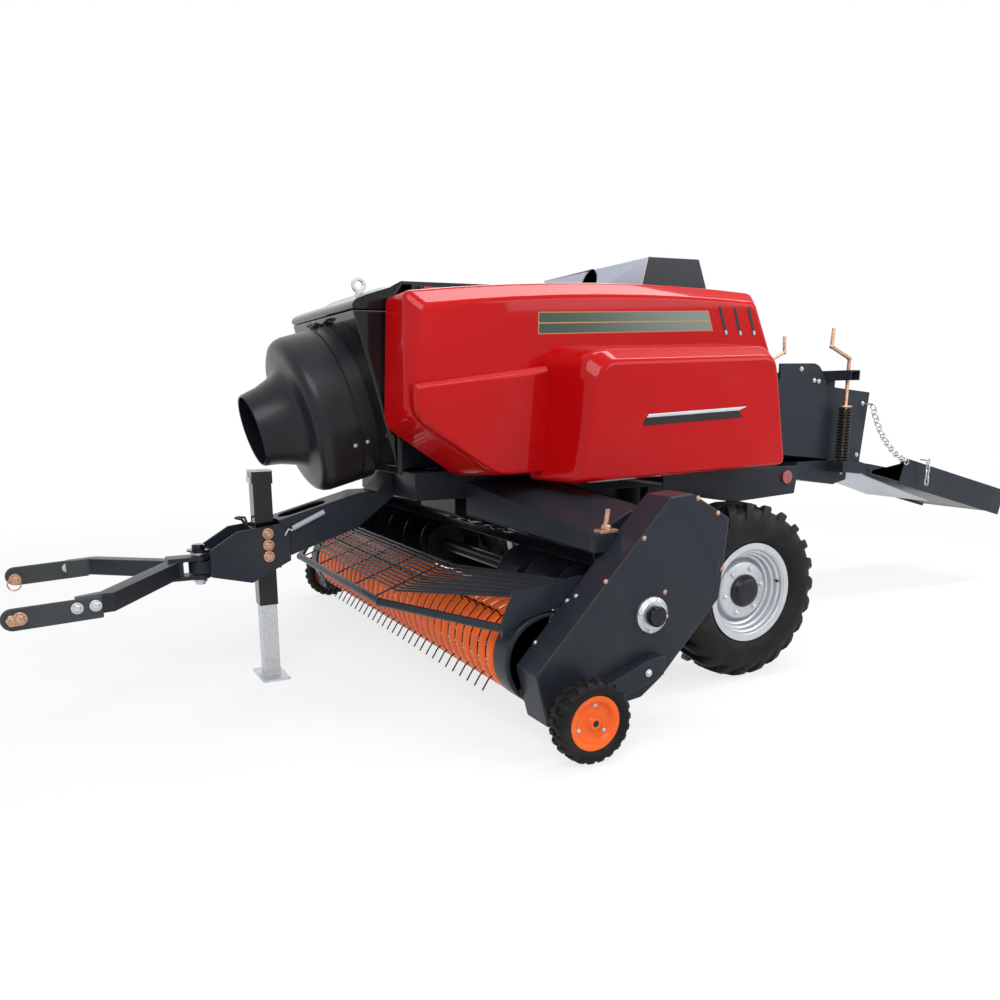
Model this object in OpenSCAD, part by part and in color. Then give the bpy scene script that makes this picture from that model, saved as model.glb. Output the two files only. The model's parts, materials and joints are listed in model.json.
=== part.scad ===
// Square baler, towed: pick-up with augers, bale chamber, knotter hood, tow fork and folding bale chute.
// X points forward, Y left, Z up. The origin is on the ground under the middle of the axle.

/* [Main wheels] */
// Outer diameter of a main tyre, over its lugs
tyre_d = 760; // [720:5:790]
// Width of a main tyre
tyre_w = 264; // [240:2:270]
// Diameter at which the tyre sits on the rim
rim_seat_d = 400; // [380:2:410]
// Middle of a main tyre, from the middle of the machine
wheel_y = 908; // [900:2:930]
// Diameter of the stub axles
stub_d = 60; // [50:1:70]
// Side of the square axle beam
axle_side = 90; // [70:5:110]

/* [Frame] */
// Width of a frame rail
rail_w = 80; // [60:5:90]
// Height of a frame rail
rail_h = 120; // [100:5:130]
// Height of the rails' top face
rail_top = 900; // [890:2:905]

/* [Bale chamber] */
// Width of a bale
bale_w = 460; // [440:5:470]
// Height of a bale
bale_h = 360; // [340:5:370]
// Thickness of the chamber's walls
chamber_wall = 15; // [10:1:18]
// Slope of the chamber, down to the rear
chamber_tilt = 5.7; // [4:0.1:7]
// Length of the chamber ahead of its reference point
chamber_ahead = 1800; // [1700:10:1830]
// Length of the chamber behind its reference point
chamber_behind = 690; // [660:5:720]

/* [Pick-up] */
// Reel axis, ahead of the axle
reel_x = 1130; // [1126:1:1140]
// Height of the reel axis
reel_z = 292; // [288:1:296]
// Outer radius of the stripper bands
band_r = 167; // [160:1:170]
// Pitch of the stripper bands along the reel
band_pitch = 66; // [64:0.5:67]
// Number of stripper bands
band_count = 33; // [29:2:33]
// Width of a stripper band
band_w = 50; // [44:1:52]
// Thickness of a stripper band
band_t = 4; // [3:0.5:6]
// Radius that the tine tips reach
tine_r = 228; // [215:1:228]
// Diameter of the tines' wire
tine_d = 6; // [4:0.5:7]
// Number of tine bars
tine_bars = 4; // [3:1:5]
// Width of a side shield
shield_w = 150; // [120:5:160]

/* [Augers] */
// Auger axis, ahead of the axle
auger_x = 790; // [786:1:794]
// Height of the auger axis
auger_z = 449; // [444:1:454]
// Radius of the auger flights
auger_r = 140; // [130:1:141]
// Diameter of the auger shaft
auger_shaft_d = 60; // [50:1:70]
// Pitch of the auger flights
auger_pitch = 240; // [200:10:280]
// Where the flights end, from the middle of the machine
auger_in = 420; // [380:10:460]

/* [Gauge wheels] */
// Diameter of a gauge wheel
gauge_d = 292; // [280:2:300]
// Width of a gauge wheel
gauge_w = 90; // [70:2:100]
// Gauge wheel axis, ahead of the axle
gauge_x = 1120; // [1100:2:1140]
// Diameter of a gauge wheel's pin
gauge_pin_d = 24; // [18:1:30]

/* [Covers] */
// Inner rim of the side covers, from the middle of the machine
cover_in = 462; // [460:1:470]
// Outer face of the side covers, from the middle of the machine
cover_out = 690; // [670:2:700]
// How far the lower half of a cover stands out
cover_step = 42; // [30:1:50]
// Outer face of the drive bulge, from the middle of the machine
bulge_out = 960; // [930:5:980]
// Thickness of the covers' skin
cover_t = 12; // [8:1:14]

/* [Front] */
// Radius of the flywheel cover's drum
drum_r = 345; // [330:1:360]
// Length of the flywheel cover's drum
drum_l = 190; // [180:5:210]
// Radius of the flywheel cover's snout
snout_r = 155; // [145:1:165]
// Length of the snout
snout_l = 235; // [215:5:250]
// Droop of the snout
snout_droop = 13; // [9:0.5:15]
// Wall of the flywheel cover
drum_t = 8; // [6:0.5:10]
// Height of the drive shaft
shaft_z = 1160; // [1150:1:1170]
// Diameter of the drive shaft's splined end
pto_d = 34.9; // [30:0.1:40]
// Length of the splined end
spline_l = 180; // [150:5:190]
// Diameter of the drive shaft in the gearbox and the flywheel
shaft_d = 45; // [42:1:55]

/* [Hitch] */
// Tow fork's pivot, ahead of the axle
pivot_x = 2120; // [2110:2:2130]
// Height of the tow fork's pivot
pivot_z = 520; // [515:1:525]
// Diameter of the pivot pin
pivot_d = 40; // [34:1:44]
// Distance between the two tow plates, middle to middle
tow_spacing = 860; // [820:5:880]
// Tow pins, ahead of the axle
tow_x = 2820; // [2790:5:2830]
// Drop of the tow pins below the pivot
tow_drop = 50; // [40:2:60]
// Diameter of the tow pins
tow_pin_d = 28; // [22:1:30]
// Free length of the tow pins
tow_pin_l = 80; // [70:2:100]
// Diameter of the tow pins' threaded shanks
tow_shank_d = 24; // [20:1:26]
// Distance from the tow fork's pivot back to the jack
jack_back = 274; // [255:1:290]
// Side of the jack's square tube
jack_side = 80; // [76:1:84]

/* [Bale chute] */
// Length of the chute, from its hinge
chute_l = 1300; // [1270:5:1320]
// Slope of the chute, down to the rear
chute_drop = 14; // [10:0.5:16]
// Height of the chute's side panels
chute_side_h = 170; // [140:5:180]
// Number of links in a chute chain
link_count = 18; // [14:1:22]

/* [Hidden] */
$fn = 48;

anthracite = [0.14, 0.16, 0.19];
black = [0.06, 0.06, 0.07];
red = [0.70, 0.10, 0.11];
orange = [0.92, 0.39, 0.14];
silver = [0.75, 0.77, 0.78];
copper = [0.72, 0.50, 0.38];

fit_gap = 0.05;
seat_gap = 0.3;
run_gap = 10;

// Main wheels
tyre_r = tyre_d / 2;
seat_r = rim_seat_d / 2;
bead_half = 0.39 * tyre_w;
rim_flange = 15;
hub_r = 55;
hub_in = 60;
hub_out = 75;
stub_end = wheel_y + hub_out - 20;
axle_end = wheel_y - tyre_w / 2 - 16;

// Frame and chamber
chamber_w = bale_w + 2 * chamber_wall;
chamber_h = bale_h + 2 * chamber_wall;
chamber_ref = [-850, 0, 1095];
rail_y = chamber_w / 2 + chamber_wall;
rail_out = rail_y + rail_w;
crank_room = 130;
gearbox_l = 270;
chamber_front = chamber_ref.x + chamber_ahead * cos(chamber_tilt) + chamber_h / 2 * sin(chamber_tilt);
gearbox_rear = chamber_front + crank_room;
panel_x = gearbox_rear + gearbox_l;
panel_t = 25;
drum_x = panel_x + panel_t;
cross_front = panel_x - 90;
rail_rear = -760;
saddle_xs = [880, 150, -560];
saddle_l = 120;

// Height of the chamber's middle line at a place along the machine
function chamber_mid(x) = chamber_ref.z + (x - chamber_ref.x) * tan(chamber_tilt);

// Pick-up, from the middle outwards
bands_half = band_count * band_pitch / 2;
drum_ring_w = 100;
shield_in = bands_half + drum_ring_w + run_gap;
shield_out = shield_in + shield_w;
arm_w = 50;
gauge_in = shield_out + arm_w + 2 * run_gap;
hanger_out = shield_in - 20;
hanger_t = 15;
auger_out = hanger_out - hanger_t - run_gap;
trough_r = auger_r + 15;
trough_t = 5;

// Bale chute, hinged under the rear end of the chamber
chute_hinge = [-1545, 0, 790];
chute_half = chamber_w / 2 + 30;
chute_t = 6;
chute_pin_d = 24;
chute_front = 300;
chute_eye = [-300, 108];
chain_y = chute_half + 20;
eye_d = 8;
eye_play = 1.5;

// Hitch
tow_z = pivot_z - tow_drop;
jack_x = pivot_x - jack_back;
jack_t = 5;
bracket_half = 90;
bracket_t = 12;
tongue_h = 50;
tow_plate_t = 14;

// A plate whose outline is drawn in X and Z, between two places along Y
module upright(y0, y1) {
    translate([0, y1, 0])
        rotate([90, 0, 0])
            linear_extrude(y1 - y0)
                children();
}

// A shape whose own Z axis is turned to Y, at a place in X and Z
module across(x, z) {
    translate([x, 0, z])
        rotate([-90, 0, 0])
            children();
}

// A shape whose own Z axis is turned to X, at a height
module lengthwise(x, z) {
    translate([x, 0, z])
        rotate([0, 90, 0])
            children();
}

module both_sides() {
    children();
    mirror([0, 1, 0])
        children();
}

// A round bar from one point to another
module bar(from, to, d) {
    run = to - from;
    translate(from)
        rotate([0, acos(run.z / norm(run)), atan2(run.y, run.x)])
            cylinder(d = d, h = norm(run));
}

// A round bar through a short list of points, with a knuckle at each bend in which its runs end
module bent_bar(points, d, knuckle) {
    last = len(points) - 1;
    trim = 0.45 * d * sqrt(knuckle * knuckle - 1);
    for (i = [1 : last]) {
        run = (points[i] - points[i - 1]) / norm(points[i] - points[i - 1]);
        bar(points[i - 1] + (i > 1 ? trim : 0) * run, points[i] - (i < last ? trim : 0) * run, d);
    }
    for (i = [1 : last - 1])
        translate(points[i])
            sphere(d = knuckle * d);
}

// The chamber's own frame: X along it to the front, Z square to its floor
module in_chamber() {
    translate(chamber_ref)
        rotate([0, -chamber_tilt, 0])
            children();
}

module chamber_block(extra) {
    in_chamber()
        translate([-chamber_behind, -chamber_w / 2 - extra, -chamber_h / 2 - extra])
            cube([chamber_behind + chamber_ahead, chamber_w + 2 * extra, chamber_h + 2 * extra]);
}

module main_axle() {
    color(anthracite) {
        translate([-axle_side / 2, -axle_end, tyre_r - axle_side / 2])
            cube([axle_side, 2 * axle_end, axle_side]);
        both_sides() {
            across(0, tyre_r)
                cylinder(d = stub_d, h = stub_end);
            across(0, tyre_r)
                cylinder(d = stub_d * 1.5, h = wheel_y - hub_in - 5);
            upright_h = rail_top - rail_h - tyre_r;
            translate([-axle_side / 2, rail_y + 10, tyre_r])
                cube([axle_side, rail_w - 20, upright_h]);
        }
    }
}

module main_frame() {
    color(anthracite) {
        both_sides() {
            translate([rail_rear, rail_y, rail_top - rail_h])
                cube([cross_front - rail_rear, rail_w, rail_h]);
            for (x = saddle_xs)
                translate([x - saddle_l / 2, chamber_w / 2, rail_top - rail_h])
                    cube([saddle_l, rail_y - chamber_w / 2, chamber_mid(x) - rail_top + rail_h]);
        }
        for (x = [cross_front - 120, 60, rail_rear])
            translate([x, -rail_out, rail_top - rail_h])
                cube([x > 1000 ? 120 : 80, 2 * rail_out, x > 1000 ? rail_h : rail_h * 0.6]);
    }
}

module bale_chamber() {
    color(anthracite)
        difference() {
            chamber_block(0);
            in_chamber()
                translate([-chamber_behind - 1, -bale_w / 2, -bale_h / 2])
                    cube([chamber_behind + chamber_ahead - 20, bale_w, bale_h]);
            in_chamber()
                translate([1250, -bale_w / 2, -chamber_h])
                    cube([420, bale_w, chamber_h]);
        }
}

deck_top = 1560;
hood_half = 450;
hood_x = [-165, 204];
hood_eave = 1695;
vent_z = 1745;
vent_r = 65;

module knotter_deck() {
    color(anthracite) {
        difference() {
            translate([-110, -230, 1250])
                cube([280, 460, deck_top - 1265]);
            chamber_block(0);
        }
        translate([hood_x[0], -hood_half, deck_top - 15])
            cube([hood_x[1] - hood_x[0], 2 * hood_half, 15]);
    }
}

hood_outline = [
    [hood_x[1], deck_top], [hood_x[1], hood_eave], [hood_x[1] - 30, 1815], [hood_x[0] + 50, 1820],
    [hood_x[0], hood_eave], [hood_x[0], deck_top]
];

module knotter_hood() {
    wall = 10;
    color(anthracite)
        difference() {
            upright(-hood_half, hood_half)
                polygon(hood_outline);
            upright(-hood_half + wall, hood_half - wall) {
                offset(delta = -wall)
                    polygon(hood_outline);
                translate([hood_x[0] + wall, deck_top - 1])
                    square([hood_x[1] - hood_x[0] - 2 * wall, 2 * wall]);
            }
            lengthwise(hood_x[1] - 60, vent_z)
                cylinder(r = vent_r, h = 100);
        }
}

hinge_y = cover_in - 6;
hinge_z = 1626;
hinge_pin_d = 12;
hinge_xs = [1220, 420];
hinge_half = 45;

module top_deck() {
    deck_half = cover_in - 24;
    color(anthracite) {
        upright(-deck_half, deck_half)
            polygon([
                [drum_x, 1592], [drum_x, 1606], [drum_x - 35, 1655], [hood_x[1], 1670], [hood_x[1], 1658],
                [drum_x - 40, 1643], [drum_x - 12, 1602], [drum_x - 12, 1592]
            ]);
        both_sides() {
            translate([hood_x[1], deck_half - 12, 1600])
                cube([drum_x - hood_x[1] - 80, 12, 50]);
            for (x = hinge_xs) {
                for (s = [-1, 1])
                    translate([x + s * (hinge_half + 12) - 6, deck_half - 1, hinge_z - 12])
                        cube([12, hinge_y + 12 - deck_half, 24]);
                translate([x - hinge_half - 12, hinge_y, hinge_z])
                    rotate([0, 90, 0])
                        cylinder(d = hinge_pin_d, h = 2 * hinge_half + 24);
            }
        }
    }
}

shaft_seat = 110;

module gearbox() {
    half = 200;
    box_top = 1460;
    color(anthracite)
        difference() {
            translate([gearbox_rear, -half, rail_top])
                cube([gearbox_l, 2 * half, box_top - rail_top]);
            lengthwise(panel_x - shaft_seat - run_gap, shaft_z)
                cylinder(d = shaft_d + 2 * fit_gap, h = shaft_seat + 2 * run_gap);
        }
}

module front_panel() {
    half = cover_in - 22;
    top = 1592;
    corner = 120;
    color(black)
        difference() {
            translate([panel_x, 0, 0])
                rotate([90, 0, 90])
                    linear_extrude(panel_t)
                        union() {
                            translate([-half, rail_top + 5])
                                square([2 * half, top - corner - rail_top - 5]);
                            translate([-half + corner, rail_top + 5])
                                square([2 * (half - corner), top - rail_top - 5]);
                            for (s = [-1, 1])
                                translate([s * (half - corner), top - corner])
                                    circle(corner);
                        }
            lengthwise(panel_x - 1, shaft_z)
                cylinder(r = 60, h = panel_t + 2);
        }
}

cone_l = 110;

module drum_solid(t) {
    r = drum_r - t;
    lengthwise(drum_x, shaft_z)
        rotate_extrude()
            polygon([
                [0, t > 0 ? -1 : 0], [r, t > 0 ? -1 : 0], [r, drum_l - t / 2], [r - 25, drum_l + 45 - t],
                [r - 90, drum_l + 80 - t], [snout_r - t, drum_l + cone_l - t], [0, drum_l + cone_l - t]
            ]);
}

module snout_solid(t) {
    translate([drum_x + drum_l + 30, 0, shaft_z - 6])
        rotate([0, 90 + snout_droop, 0])
            cylinder(r1 = snout_r - t, r2 = snout_r - 8 - t, h = snout_l + (t > 0 ? 1 : 0));
}

module flywheel_cover() {
    color(black)
        difference() {
            union() {
                drum_solid(0);
                snout_solid(0);
            }
            drum_solid(drum_t);
            snout_solid(drum_t);
        }
}

module lifting_eye() {
    eye_x = drum_x - 14;
    eye_z = 1686;
    eye_t = 16;
    color(silver)
        difference() {
            union() {
                across(eye_x, eye_z)
                    translate([0, 0, -eye_t / 2])
                        cylinder(r = 32, h = eye_t);
                upright(-eye_t / 2, eye_t / 2)
                    polygon([
                        [drum_x, 1606], [drum_x - 30, 1648], [drum_x - 30, eye_z], [drum_x + 2, eye_z],
                        [drum_x + 2, 1606]
                    ]);
            }
            across(eye_x, eye_z)
                translate([0, 0, -eye_t])
                    cylinder(r = 17, h = 2 * eye_t);
        }
}

pto_end = drum_x + drum_l + 150;

module pto_shaft() {
    plain_l = pto_end - spline_l - panel_x + shaft_seat;
    color(silver)
        lengthwise(panel_x - shaft_seat, shaft_z) {
            cylinder(d = shaft_d, h = plain_l);
            cylinder(d = pto_d, h = plain_l + spline_l);
        }
}

module flywheel() {
    wheel_r = drum_r - 45;
    color(anthracite)
        lengthwise(drum_x + 30, shaft_z)
            difference() {
                cylinder(r = wheel_r, h = 90);
                translate([0, 0, 25])
                    difference() {
                        cylinder(r = wheel_r - 45, h = 90);
                        cylinder(r = 60, h = 90);
                    }
                translate([0, 0, -1])
                    cylinder(d = shaft_d + 2 * fit_gap, h = 120);
            }
}

module drawbar() {
    rear = cross_front;
    front = jack_x - jack_side / 2 - bracket_t;
    half = bracket_half;
    wall = 10;
    knee = drum_x + 45;
    hole_r = 55;
    hole_xs = [front - 174, front - 74];
    under_drum = shaft_z - drum_r - 13;
    color(anthracite)
        difference() {
            upright(-half, half)
                polygon([
                    [front, 535], [front, 705], [knee, under_drum], [knee - 80, under_drum], [rear, 890],
                    [rear, rail_top - rail_h], [knee + 10, 650]
                ]);
            upright(-half + wall, half - wall)
                polygon([
                    [front + 1, 535 + wall], [front + 1, 705 - wall], [knee, under_drum - wall],
                    [knee - 82, under_drum - wall], [rear - 1, 890 - wall],
                    [rear - 1, rail_top - rail_h + wall], [knee + 12, 650 + wall]
                ]);
            for (x = hole_xs)
                translate([x, 0, 600])
                    cylinder(r = hole_r, h = 300);
            translate([hole_xs[0], -hole_r, 600])
                cube([hole_xs[1] - hole_xs[0], 2 * hole_r, 300]);
        }
}

module hitch_bracket() {
    rear = jack_x - jack_side / 2 - bracket_t;
    nose = pivot_x - 30;
    plate = [
        [nose, 487], [nose, 600], [nose - 115, 670], [rear, 690], [rear - 40, 640], [rear - 40, 530],
        [jack_x + 77, 447]
    ];
    color(anthracite)
        difference() {
            union() {
                both_sides()
                    upright(bracket_half, bracket_half + bracket_t)
                        polygon(plate);
                for (x = [rear, jack_x + jack_side / 2])
                    translate([x, -bracket_half, 500])
                        cube([bracket_t, 2 * bracket_half, 170]);
                translate([jack_x + jack_side / 2, -bracket_half, pivot_z - tongue_h / 2])
                    cube([nose - 40 - jack_x - jack_side / 2, 2 * bracket_half, tongue_h]);
                translate([nose - 50, -45, pivot_z - tongue_h / 2])
                    cube([80, 90, tongue_h]);
                translate([pivot_x, 0, pivot_z - tongue_h / 2])
                    cylinder(r = 45, h = tongue_h);
            }
            translate([pivot_x, 0, 0])
                cylinder(d = pivot_d + 2 * fit_gap, h = 1000);
        }
}

module pivot_pin() {
    color(silver) {
        translate([pivot_x, 0, pivot_z - 75])
            cylinder(d = pivot_d, h = 150);
        translate([pivot_x, 0, pivot_z + 52])
            cylinder(d = pivot_d + 26, h = 10);
        translate([pivot_x, 0, pivot_z - 64])
            cylinder(d = pivot_d + 16, h = 12);
    }
}

jack_bottom = 330;
jack_top = 915;

module jack_tube() {
    color(black)
        difference() {
            translate([jack_x - jack_side / 2, -jack_side / 2, jack_bottom])
                cube([jack_side, jack_side, jack_top - jack_bottom]);
            translate([jack_x - jack_side / 2 + jack_t, -jack_side / 2 + jack_t, jack_bottom - 1])
                cube([jack_side - 2 * jack_t, jack_side - 2 * jack_t, jack_top - jack_bottom - 9]);
        }
}

module jack_leg() {
    side = jack_side - 2 * jack_t - 2 * seat_gap;
    color(silver) {
        translate([jack_x - side / 2, -side / 2, 10])
            cube([side, side, 550]);
        translate([jack_x - 60, -105, 0])
            cube([120, 210, 10]);
    }
}

// Roof over an auger, tapering outwards, with the plate that hangs the auger's outer bearing
module wing(side) {
    inner = [[1030, 705], [1030, 850], [870, 875], [720, 875], [720, 705]];
    outer = [[925, 655], [925, 725], [770, 800], [660, 800], [660, 655]];
    hanger_in = hanger_out - hanger_t;
    color(anthracite)
        mirror([0, side < 0 ? 1 : 0, 0]) {
            hull() {
                upright(rail_out, rail_out + 1)
                    polygon(inner);
                upright(hanger_in - 1, hanger_in)
                    polygon(outer);
            }
            difference() {
                upright(hanger_in, hanger_out)
                    polygon([
                        [925, 655], [925, 725], [770, 800], [660, 800], [auger_x - 70, auger_z - 30],
                        [auger_x - 40, auger_z - 70], [auger_x + 40, auger_z - 70],
                        [auger_x + 70, auger_z - 30]
                    ]);
                across(auger_x, auger_z)
                    cylinder(d = auger_shaft_d + 2 * fit_gap, h = 2 * hanger_out);
            }
        }
}

module wing_left() {
    wing(1);
}

module wing_right() {
    wing(-1);
}

// Curved sheet round the augers, open in the middle between stripper bars
module feed_trough() {
    half = hanger_out - hanger_t;
    sheet_from = 62;
    sheet_to = 248;
    color(anthracite)
        across(auger_x, auger_z)
            difference() {
                translate([0, 0, -half])
                    rotate([0, 0, -sheet_to])
                        rotate_extrude(angle = sheet_to - sheet_from)
                            translate([trough_r, 0])
                                square([trough_t, 2 * half]);
                for (y = [-280, -140, 0, 140, 280])
                    translate([0, 0, y - 50])
                        rotate([0, 0, -205])
                            rotate_extrude(angle = 125)
                                translate([trough_r - 20, 0])
                                    square([40 + trough_t, 100]);
            }
}

skirt_y = 745;

module side_skirts() {
    color(anthracite)
        both_sides() {
            upright(skirt_y - 8, skirt_y)
                polygon([[280, 885], [-520, 885], [-500, 755], [-130, 735], [280, 800]]);
            for (x = [200, -420])
                across(x, rail_top - rail_h / 2)
                    translate([0, 0, rail_out])
                        cylinder(d = 40, h = skirt_y - 8 - rail_out);
        }
}

module reflectors() {
    color(red)
        both_sides()
            across(-440, 835)
                translate([0, 0, skirt_y])
                    cylinder(d = 60, h = 12);
}

spring_x = -1300;
spring_y = chamber_w / 2 + 62;
spring_wire = 9;
spring_r = 30;
screw_d = 20;
lower_bar_top = 850;
spring_top = 1140;
channel_z = 1330;

module tension_frame() {
    reach = spring_y + 50;
    lug_in = chute_half + 6;
    lug_t = 14;
    color(anthracite)
        difference() {
            union() {
                translate([spring_x - 35, -reach, channel_z])
                    cube([70, 2 * reach, 8]);
                for (x = [spring_x - 35, spring_x + 27])
                    translate([x, -reach, channel_z - 45])
                        cube([8, 2 * reach, 45]);
                difference() {
                    for (s = [-1, 1])
                        translate([spring_x - 27, s * 190 - 10, 1150])
                            cube([54, 20, channel_z - 1150]);
                    chamber_block(0);
                }
                difference() {
                    translate([spring_x - 40, -chamber_w / 2, lower_bar_top - 60])
                        cube([80, chamber_w, 80]);
                    chamber_block(0);
                }
                translate([spring_x - 40, -reach, lower_bar_top - 60])
                    cube([80, 2 * reach, 60]);
                both_sides()
                    upright(lug_in, lug_in + lug_t)
                        polygon([
                            [spring_x, lower_bar_top - 60], [spring_x, lower_bar_top],
                            [chute_hinge.x - 25, chute_hinge.z + 28], [chute_hinge.x - 25, chute_hinge.z - 28]
                        ]);
                across(chute_hinge.x, chute_hinge.z)
                    translate([0, 0, -lug_in - lug_t - 8])
                        cylinder(d = chute_pin_d, h = 2 * (lug_in + lug_t + 8));
            }
            both_sides()
                translate([spring_x, spring_y, 500])
                    cylinder(d = screw_d + 2 * seat_gap, h = 1500);
        }
}

module spring_left() {
    turns = 13;
    h = spring_top - lower_bar_top;
    color(black)
        translate([spring_x, spring_y, lower_bar_top])
            linear_extrude(height = h, twist = -360 * turns, slices = turns * 12, $fn = 6)
                translate([spring_r, 0])
                    circle(d = spring_wire);
}

module spring_right() {
    mirror([0, 1, 0])
        spring_left();
}

// Screw through a spring, with its cap and its crank handle; the arm's direction is +1 forward, -1 rearward
module crank(y, ahead) {
    top = 1400;
    bent_bar([
        [spring_x, y, lower_bar_top - 75], [spring_x, y, top], [spring_x + ahead * 140, y, top + 60],
        [spring_x + ahead * 135, y, top + 155]
    ], screw_d, 1.3);
    translate([spring_x, y, spring_top])
        cylinder(r = spring_r + spring_wire / 2, h = 10);
}

module tension_cranks() {
    color(copper) {
        crank(spring_y, 1);
        crank(-spring_y, -1);
    }
}

// Chain between the chamber and the chute: equal links along an arc that sags
chain_from = [-1530, 1150];
eye_at = [
    chute_hinge.x + chute_eye.x * cos(chute_drop) - chute_eye.y * sin(chute_drop),
    chute_hinge.z + chute_eye.x * sin(chute_drop) + chute_eye.y * cos(chute_drop)
];
chain_to = eye_at + (eye_at - chain_from) / norm(eye_at - chain_from) * (eye_d / 2 + eye_play);
chain_sag = 50;
chain_wire = 7;
chain_span = norm(chain_to - chain_from);
chain_r = chain_span / 2 / sin(chain_sag / 2);
link_pitch = 2 * chain_r * sin(chain_sag / link_count / 2);
link_r = link_pitch / 2 + chain_wire / 2 - seat_gap / 2;

function chain_angle(i) = atan2(chain_to.y - chain_from.y, chain_to.x - chain_from.x) - 180
    - chain_sag * ((i + 0.5) / link_count - 0.5);

module chute_chains() {
    along = (chain_to - chain_from) / chain_span;
    side = [-along.y, along.x];
    middle = (chain_from + chain_to) / 2;
    centre = middle - side * chain_r * cos(chain_sag / 2);
    color(silver)
        both_sides() {
            for (i = [0 : link_count - 1]) {
                a = chain_sag * ((i + 0.5) / link_count - 0.5);
                p = centre + chain_r * (side * cos(a) + along * sin(a));
                translate([p.x, chain_y, p.y])
                    rotate([0, -chain_angle(i), 0])
                        rotate([(link_count - i) % 2 == 0 ? 0 : 90, 0, 0])
                            rotate_extrude()
                                translate([link_r, 0])
                                    circle(d = chain_wire);
            }
            eye_from = chamber_w / 2;
            translate([chain_from.x + 4, eye_from, chain_from.y + 6])
                rotate([-90, 0, 0])
                    cylinder(d = eye_d, h = chain_y - eye_from + 6);
        }
}

// Tyre section, from the seat out to the tread
module tyre_ring() {
    w = tyre_w / 2;
    bead_r = seat_r + rim_flange + 2;
    rotate_extrude()
        polygon([
            [seat_r + seat_gap, -bead_half], [bead_r, -bead_half], [seat_r + 40, -w * 0.95],
            [seat_r + 90, -w], [tyre_r - 45, -w * 0.95], [tyre_r, -w * 0.78], [tyre_r, w * 0.78],
            [tyre_r - 45, w * 0.95], [seat_r + 90, w], [seat_r + 40, w * 0.95], [bead_r, bead_half],
            [seat_r + seat_gap, bead_half]
        ]);
}

module rim_ring() {
    w = bead_half + seat_gap;
    lip_r = seat_r + rim_flange;
    rotate_extrude()
        polygon([
            [seat_r - 10, -w - 8], [lip_r, -w - 8], [lip_r, -w], [seat_r, -w], [seat_r, w], [lip_r, w],
            [lip_r, w + 8], [seat_r - 10, w + 8],
            [seat_r - 14, w - 60], [seat_r - 60, w - 80], [120, w - 40], [hub_r, w - 40], [hub_r, hub_out],
            [0, hub_out], [0, hub_out - 15], [stub_d / 2 + fit_gap, hub_out - 15],
            [stub_d / 2 + fit_gap, -hub_in], [hub_r, -hub_in], [hub_r, w - 52], [120, w - 52],
            [seat_r - 60, w - 92], [seat_r - 14, w - 72]
        ]);
}

module tyre_left() {
    color(black)
        across(0, tyre_r)
            translate([0, 0, wheel_y])
                tyre_ring();
}

module rim_left() {
    color(silver)
        across(0, tyre_r)
            translate([0, 0, wheel_y])
                rim_ring();
}

module tyre_right() {
    mirror([0, 1, 0])
        tyre_left();
}

module rim_right() {
    mirror([0, 1, 0])
        rim_left();
}

// Side cover: sections in X and Z, each at its distance from the middle of the machine
rim_line = [
    [drum_x + 40, 1592], [-235, 1610], [-335, 1400], [-300, 935], [1085, 912], [drum_x + 10, 1080],
    [drum_x + 63, 1150]
];
shoulder_line = [
    [drum_x + 27, 1560], [-222, 1578], [-325, 1398], [-295, 938], [1080, 912], [drum_x + 3, 1080],
    [drum_x + 53, 1150]
];
face_line = [
    [drum_x - 15, 1505], [-205, 1525], [-300, 1390], [-280, 950], [1072, 925], [drum_x - 20, 1090],
    [drum_x + 20, 1155]
];
lower_line = [
    [drum_x + 40, 1222], [820, 1322], [-300, 1340], [-285, 945], [1078, 918], [drum_x - 9, 1086],
    [drum_x + 43, 1152]
];
lower_face = [
    [drum_x + 15, 1205], [815, 1302], [-285, 1322], [-275, 955], [1070, 930], [drum_x - 25, 1095],
    [drum_x + 15, 1155]
];
bulge_base = [[860, 1408], [-130, 1440], [-242, 912], [885, 908]];
bulge_shoulder = [[805, 1388], [-118, 1418], [-230, 914], [842, 910]];
bulge_face = [[765, 1338], [-108, 1375], [-216, 925], [815, 922]];

// A body lofted through sections given as [distance, outline], with each outline shrunk by a wall
module loft(sections, wall) {
    hull()
        for (s = sections)
            upright(s[0] - 1, s[0])
                offset(delta = -wall)
                    polygon(s[1]);
}

module cover_solid(wall) {
    open = wall > 0 ? 10 : 0;
    shoulder = cover_out - 50;
    bulge_edge = bulge_out - 55;
    loft([[cover_in + 1 - open, rim_line], [shoulder, shoulder_line], [cover_out - wall, face_line]], wall);
    loft([
        [shoulder - 5 * open, lower_line], [cover_out + cover_step - 25 - wall / 2, lower_line],
        [cover_out + cover_step - wall, lower_face]
    ], wall);
    loft([
        [cover_out - 40 - 2 * open, bulge_base], [bulge_edge - wall / 2, bulge_shoulder],
        [bulge_out - wall, bulge_face]
    ], wall);
}

module cover_left() {
    color(red)
        difference() {
            union() {
                difference() {
                    cover_solid(0);
                    cover_solid(cover_t);
                }
                for (x = hinge_xs) {
                    translate([x - hinge_half, hinge_y, hinge_z])
                        rotate([0, 90, 0])
                            cylinder(r = 12, h = 2 * hinge_half);
                    translate([x - hinge_half, hinge_y + 6, 1585])
                        cube([2 * hinge_half, 14, hinge_z - 1585]);
                }
            }
            for (x = hinge_xs)
                translate([x - hinge_half - 1, hinge_y, hinge_z])
                    rotate([0, 90, 0])
                        cylinder(d = hinge_pin_d + 2 * fit_gap, h = 2 * hinge_half + 2);
        }
}

module cover_right() {
    mirror([0, 1, 0])
        cover_left();
}

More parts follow.
